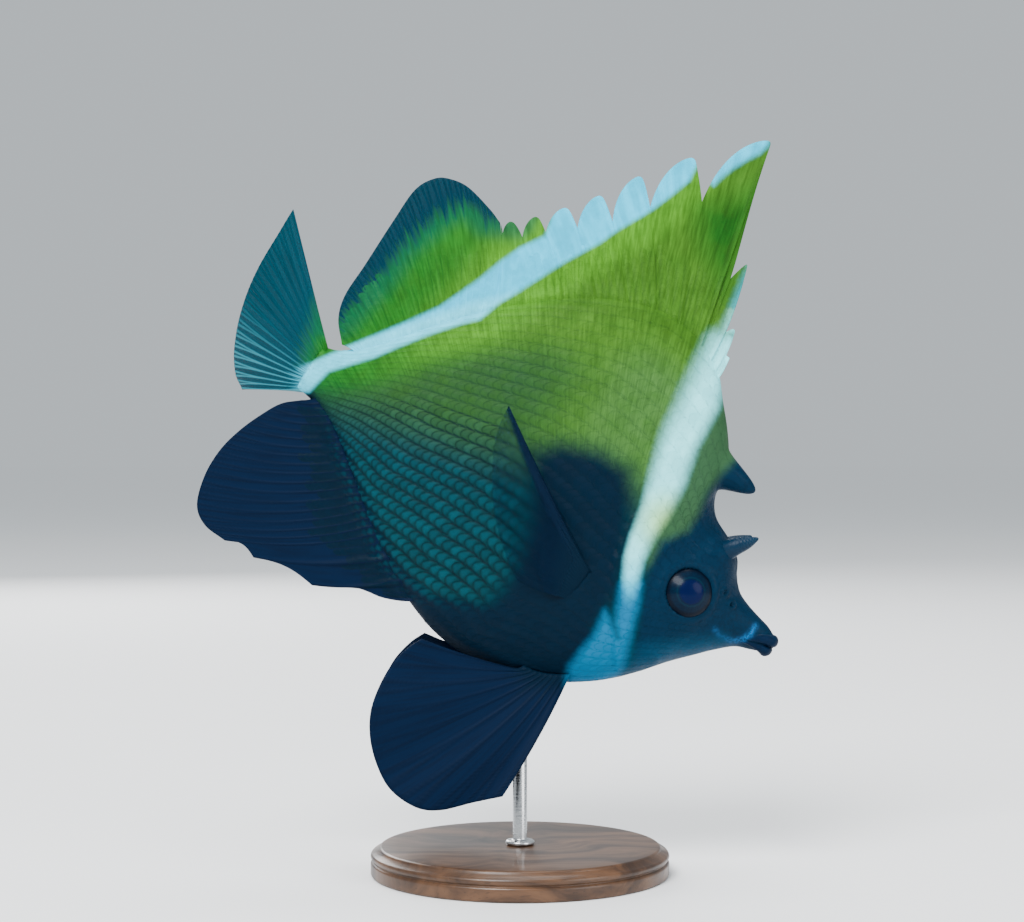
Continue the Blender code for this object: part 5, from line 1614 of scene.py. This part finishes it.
def scale_material():
    """Each plate is lighter in its middle and darker along its free edge, most so on the flank's net; the
    dark edge is its margin with painted shade under it.
    """
    nodes = Nodes("scale", 0.46, specular=0.05)
    colour, _, mottle = pigment(nodes)
    plate, net, deep, dark = nodes.mask("plate"), nodes.mask("net"), nodes.mask("deep"), dark_part(nodes)
    off_middle = nodes.math("ABSOLUTE", nodes.off(plate, 0.70))
    off_line = nodes.math("ABSOLUTE", nodes.mask("across"))
    away = nodes.plus(nodes.times(off_middle, 2.0), nodes.times(off_line, 0.8))
    middle = nodes.mix(nodes.ramp(deep, 0.35, 0.95), PLATE_HIGH, PLATE_LOW)
    colour = nodes.mix(nodes.times(nodes.ramp(away, 0.90, 0.20), net, deep, 0.9, dark), colour, middle)
    # Dark free edge of each plate: its margin with painted shade under it, deeper as the plate stands up
    # (relief)
    rim = nodes.math("MAXIMUM", nodes.ramp(plate, 0.86, 1.0, 0.0, 0.55), nodes.ramp(off_line, 0.55, 0.92))
    colour = nodes.mix(nodes.times(rim, dark, nodes.mask("relief"), 0.85), colour, EDGE_LINE_AND_SHADE)
    darkest, lightest = nodes.ramp(net, 0.0, 1.0, 0.92, 0.80), nodes.ramp(net, 0.0, 1.0, 1.05, 1.14)
    colour = nodes.shaded(colour, nodes.ramp(nodes.mask("tint"), 0.0, 1.0, darkest, lightest, ease="LINEAR"))
    growth = nodes.wave(nodes.plus(plate, nodes.times(off_line, 0.25)), 75.0)
    bent = nodes.bump(growth, 0.012, under=nodes.bump(nodes.noise(0.4, detail=2.0), 0.03))
    return nodes.finish(colour, bent, nodes.ramp(mottle, 0.3, 0.7, 0.38, 0.52))


def fin_material(name, margin, clear, saw=4.0, soft=3.0, streaks=0.4, rays=0.9, teal=0.0, calm=0.001):
    """Membrane over rays: the body's pigments end in teeth along the rays and the rest lets light through."""
    nodes = Nodes(name, 0.58, specular=0.05)
    colour = pigment(nodes)[0]
    ray, reach, paint = nodes.mask("ray"), nodes.mask("reach"), nodes.mask("paint")
    wild = nodes.streaks(nodes.times(nodes.mask("ray_share"), 75.0), nodes.times(reach, 2.2))
    sway = nodes.times(nodes.off(wild, 0.5), nodes.ramp(reach, 0.0, calm))
    streak = nodes.plus(sway, 0.5)
    depth = nodes.plus(paint, nodes.times(sway, 4.0 * saw))
    membrane = nodes.mix(nodes.ramp(streak, 0.42, 0.72, 0.0, streaks), margin, tuple(0.4 * c for c in margin))
    membrane = nodes.mix(nodes.times(ray, 0.3), membrane, tuple(0.35 * c for c in margin))
    colour = nodes.shaded(colour, nodes.ramp(streak, 0.3, 0.7, 1.12, 0.80))
    colour = nodes.mix(nodes.times(nodes.ramp(paint, 10.0, 0.0, 0.0, teal), dark_part(nodes)), colour, TEAL)
    colour = nodes.mix(nodes.ramp(depth, soft, -soft), colour, membrane)
    # Painted highlights on the rays of the tail fin's lower lobe
    colour = nodes.mix(nodes.mask("pale"), colour, RAY_HIGHLIGHT)
    joints = nodes.times(nodes.wave(reach, 210.0), ray, reach)
    wrinkle = nodes.bump(nodes.noise(0.7, stretch=(0.5, 1.0, 1.6)), 0.05)
    thin = nodes.times(nodes.ramp(depth, soft, -2 * soft), nodes.ramp(ray, 0.8, 0.1, 1 - rays, 1.0), clear)
    through = nodes.add("BsdfTransparent").outputs[0]
    both = nodes.add("MixShader", {0: thin, 1: nodes.shader.outputs[0], 2: through})
    nodes.link(both.outputs[0], nodes.tree.nodes["Material Output"].inputs["Surface"])
    return nodes.finish(colour, nodes.bump(joints, 0.03, under=wrinkle))


def eye_material():
    """A blue-black pupil in a dark iris with a thin bronze ring, under a clear coat."""
    nodes = Nodes("eye", 0.30, coat=0.04, specular=0.05, coat_roughness=0.10)
    fleck = nodes.noise(0.5, detail=4.0)
    ragged = nodes.plus(nodes.times(nodes.off(fleck, 0.5), 0.5), nodes.times(nodes.mask("spoke"), 0.05))
    out = nodes.plus(nodes.mask("radius"), ragged)
    iris = nodes.mix(nodes.ramp(fleck, 0.3, 0.7), *IRIS)
    colour = nodes.mix(nodes.ramp(out, *PUPIL_EDGE), PUPIL, iris)
    ring = nodes.times(nodes.ramp(out, *RING_FROM), nodes.ramp(out, *RING_TO), 0.4)
    colour = nodes.mix(ring, colour, IRIS_RING)
    return nodes.finish(nodes.mix(nodes.ramp(out, *EYE_EDGE_FADE), colour, EYE_EDGE))


def horn_material():
    """Skin-dark at the root, running to a slightly paler worn tip with faint growth rings."""
    nodes = Nodes("horn", 0.42, specular=0.12)
    colour, fleck, _ = pigment(nodes)
    tip = nodes.mask("tip")
    worn = nodes.ramp(nodes.plus(tip, nodes.times(fleck, 0.25)), 0.55, 1.2, 0.0, 0.6)
    rings = nodes.times(nodes.wave(tip, 80.0), nodes.ramp(tip, 0.25, 0.6))
    grain = nodes.bump(nodes.noise(0.45, stretch=(2.5, 1.0, 2.5)), 0.08)
    return nodes.finish(nodes.mix(worn, colour, HORN_TIP), nodes.bump(rings, 0.04, under=grain))


def wood_material():
    """Dark oiled walnut: broad, drawn-out grain with pores, under a satin finish."""
    nodes = Nodes("stained_wood", 0.38, coat=0.15, specular=0.3)
    place = nodes.object_place()
    bent = nodes.mix(0.06, place, nodes.noise_at(place, 18.0, 2.0, output="Color"), blend="ADD")
    grain = nodes.noise_at(nodes.scaled(bent, GRAIN_SCALE), detail=4.0, rough=0.6)
    pore = nodes.noise_at(nodes.scaled(place, PORE_SCALE), detail=2.0)
    colour = nodes.mix(nodes.ramp(grain, 0.30, 0.72), *WOOD)
    colour = nodes.mix(nodes.ramp(pore, 0.62, 0.70, 0.0, 0.5), colour, WOOD_PORE)
    return nodes.finish(colour, nodes.bump(pore, 0.04, strength=0.5), nodes.ramp(grain, 0.2, 0.9, 0.44, 0.32))


def steel_material():
    """Brushed round: fine lines about the rod, with uneven polish."""
    nodes = Nodes("brushed_steel", 0.28, metallic=1.0)
    brush = nodes.noise_at(nodes.scaled(nodes.object_place(), BRUSH_SCALE), detail=4.0)
    lines = nodes.bump(brush, 0.01, strength=0.4)
    return nodes.finish(nodes.mix(brush, *STEEL), lines, nodes.ramp(brush, 0.3, 0.7, 0.22, 0.40))


def floor_material():
    nodes = Nodes("studio_floor", 0.9, specular=0.0)
    place = nodes.object_place()
    near = nodes.mix(nodes.noise_at(place, 3.0, 2.0), *FLOOR)
    away = nodes.add("VectorMath", {0: place}, operation="LENGTH").outputs["Value"]
    return nodes.finish(nodes.mix(nodes.ramp(away, *FLOOR_FADE), near, FLOOR_AWAY))


def placed(name, data, place):
    """A new object of the data in the scene at a place in metres."""
    made = bpy.data.objects.new(name, data)
    made.location = place
    bpy.context.scene.collection.objects.link(made)
    return made


def studio():
    """A pale floor, soft lights, a pale world and the camera at the photograph's angle."""
    mesh = bpy.data.meshes.new("floor")
    disc = turned(FLOOR_RINGS_MM, FLOOR_TURNS) * MM
    points = np.concatenate([disc.reshape(-1, 3), [(0, 0, 0)]])
    quads = grid_faces(len(disc), FLOOR_TURNS, closed=True)[:, ::-1]
    inner = [(len(points) - 1, k, (k + 1) % FLOOR_TURNS) for k in range(FLOOR_TURNS)]
    mesh.from_pydata(points.tolist(), [], [*quads.tolist(), *inner])
    mesh.update()
    mesh.materials.append(floor_material())
    placed("floor", mesh, (0, 0, 0))

    for name, place, size, power in LIGHTS:
        light = bpy.data.lights.new(name, "AREA")
        light.energy = power
        light.shape = "DISK"
        light.size = size
        lamp = placed(name, light, place)
        lamp.rotation_euler = (AIM - lamp.location).to_track_quat("-Z", "Y").to_euler()

    world = bpy.data.worlds.new("studio")
    world.use_nodes = True
    world.node_tree.nodes["Background"].inputs["Color"].default_value = SKY
    world.node_tree.nodes["Background"].inputs["Strength"].default_value = SKY_STRENGTH
    bpy.context.scene.world = world

    data = bpy.data.cameras.new("camera")
    data.lens = CAMERA_LENS
    data.sensor_width = CAMERA_SENSOR
    camera = placed("camera", data, (CAMERA_SIDEWAYS, -CAMERA_DISTANCE, CAMERA_HEIGHT))
    camera.rotation_euler = (math.pi / 2, 0, 0)
    bpy.context.scene.camera = camera


def main():
    studio()
    base, skin = body_skin(skin_material())
    plates = scale_material()
    scale_coats(base, skin, plates)
    spiny_dorsal(fin_material("spiny_membrane", WHITE, 0.0), plates)
    soft_dorsal(fin_material("soft_membrane", SOFT_MARGIN, 0.15), plates)
    caudal(fin_material("tail_membrane", TAIL_MARGIN, 0.15, soft=4.0, teal=0.6))
    dark_fin = fin_material("dark_membrane", DARK_MARGIN, 0.0)
    anal(dark_fin, plates)
    pelvic(dark_fin)
    pectoral(fin_material("clear_membrane", CLEAR_MARGIN, 0.85, saw=0.15, streaks=0.1, calm=0.5), skin)
    glaze = eye_material()
    for side, name in SIDES:
        eye(side, name, glaze)
    horns(horn_material())
    stand(wood_material(), steel_material())


main()
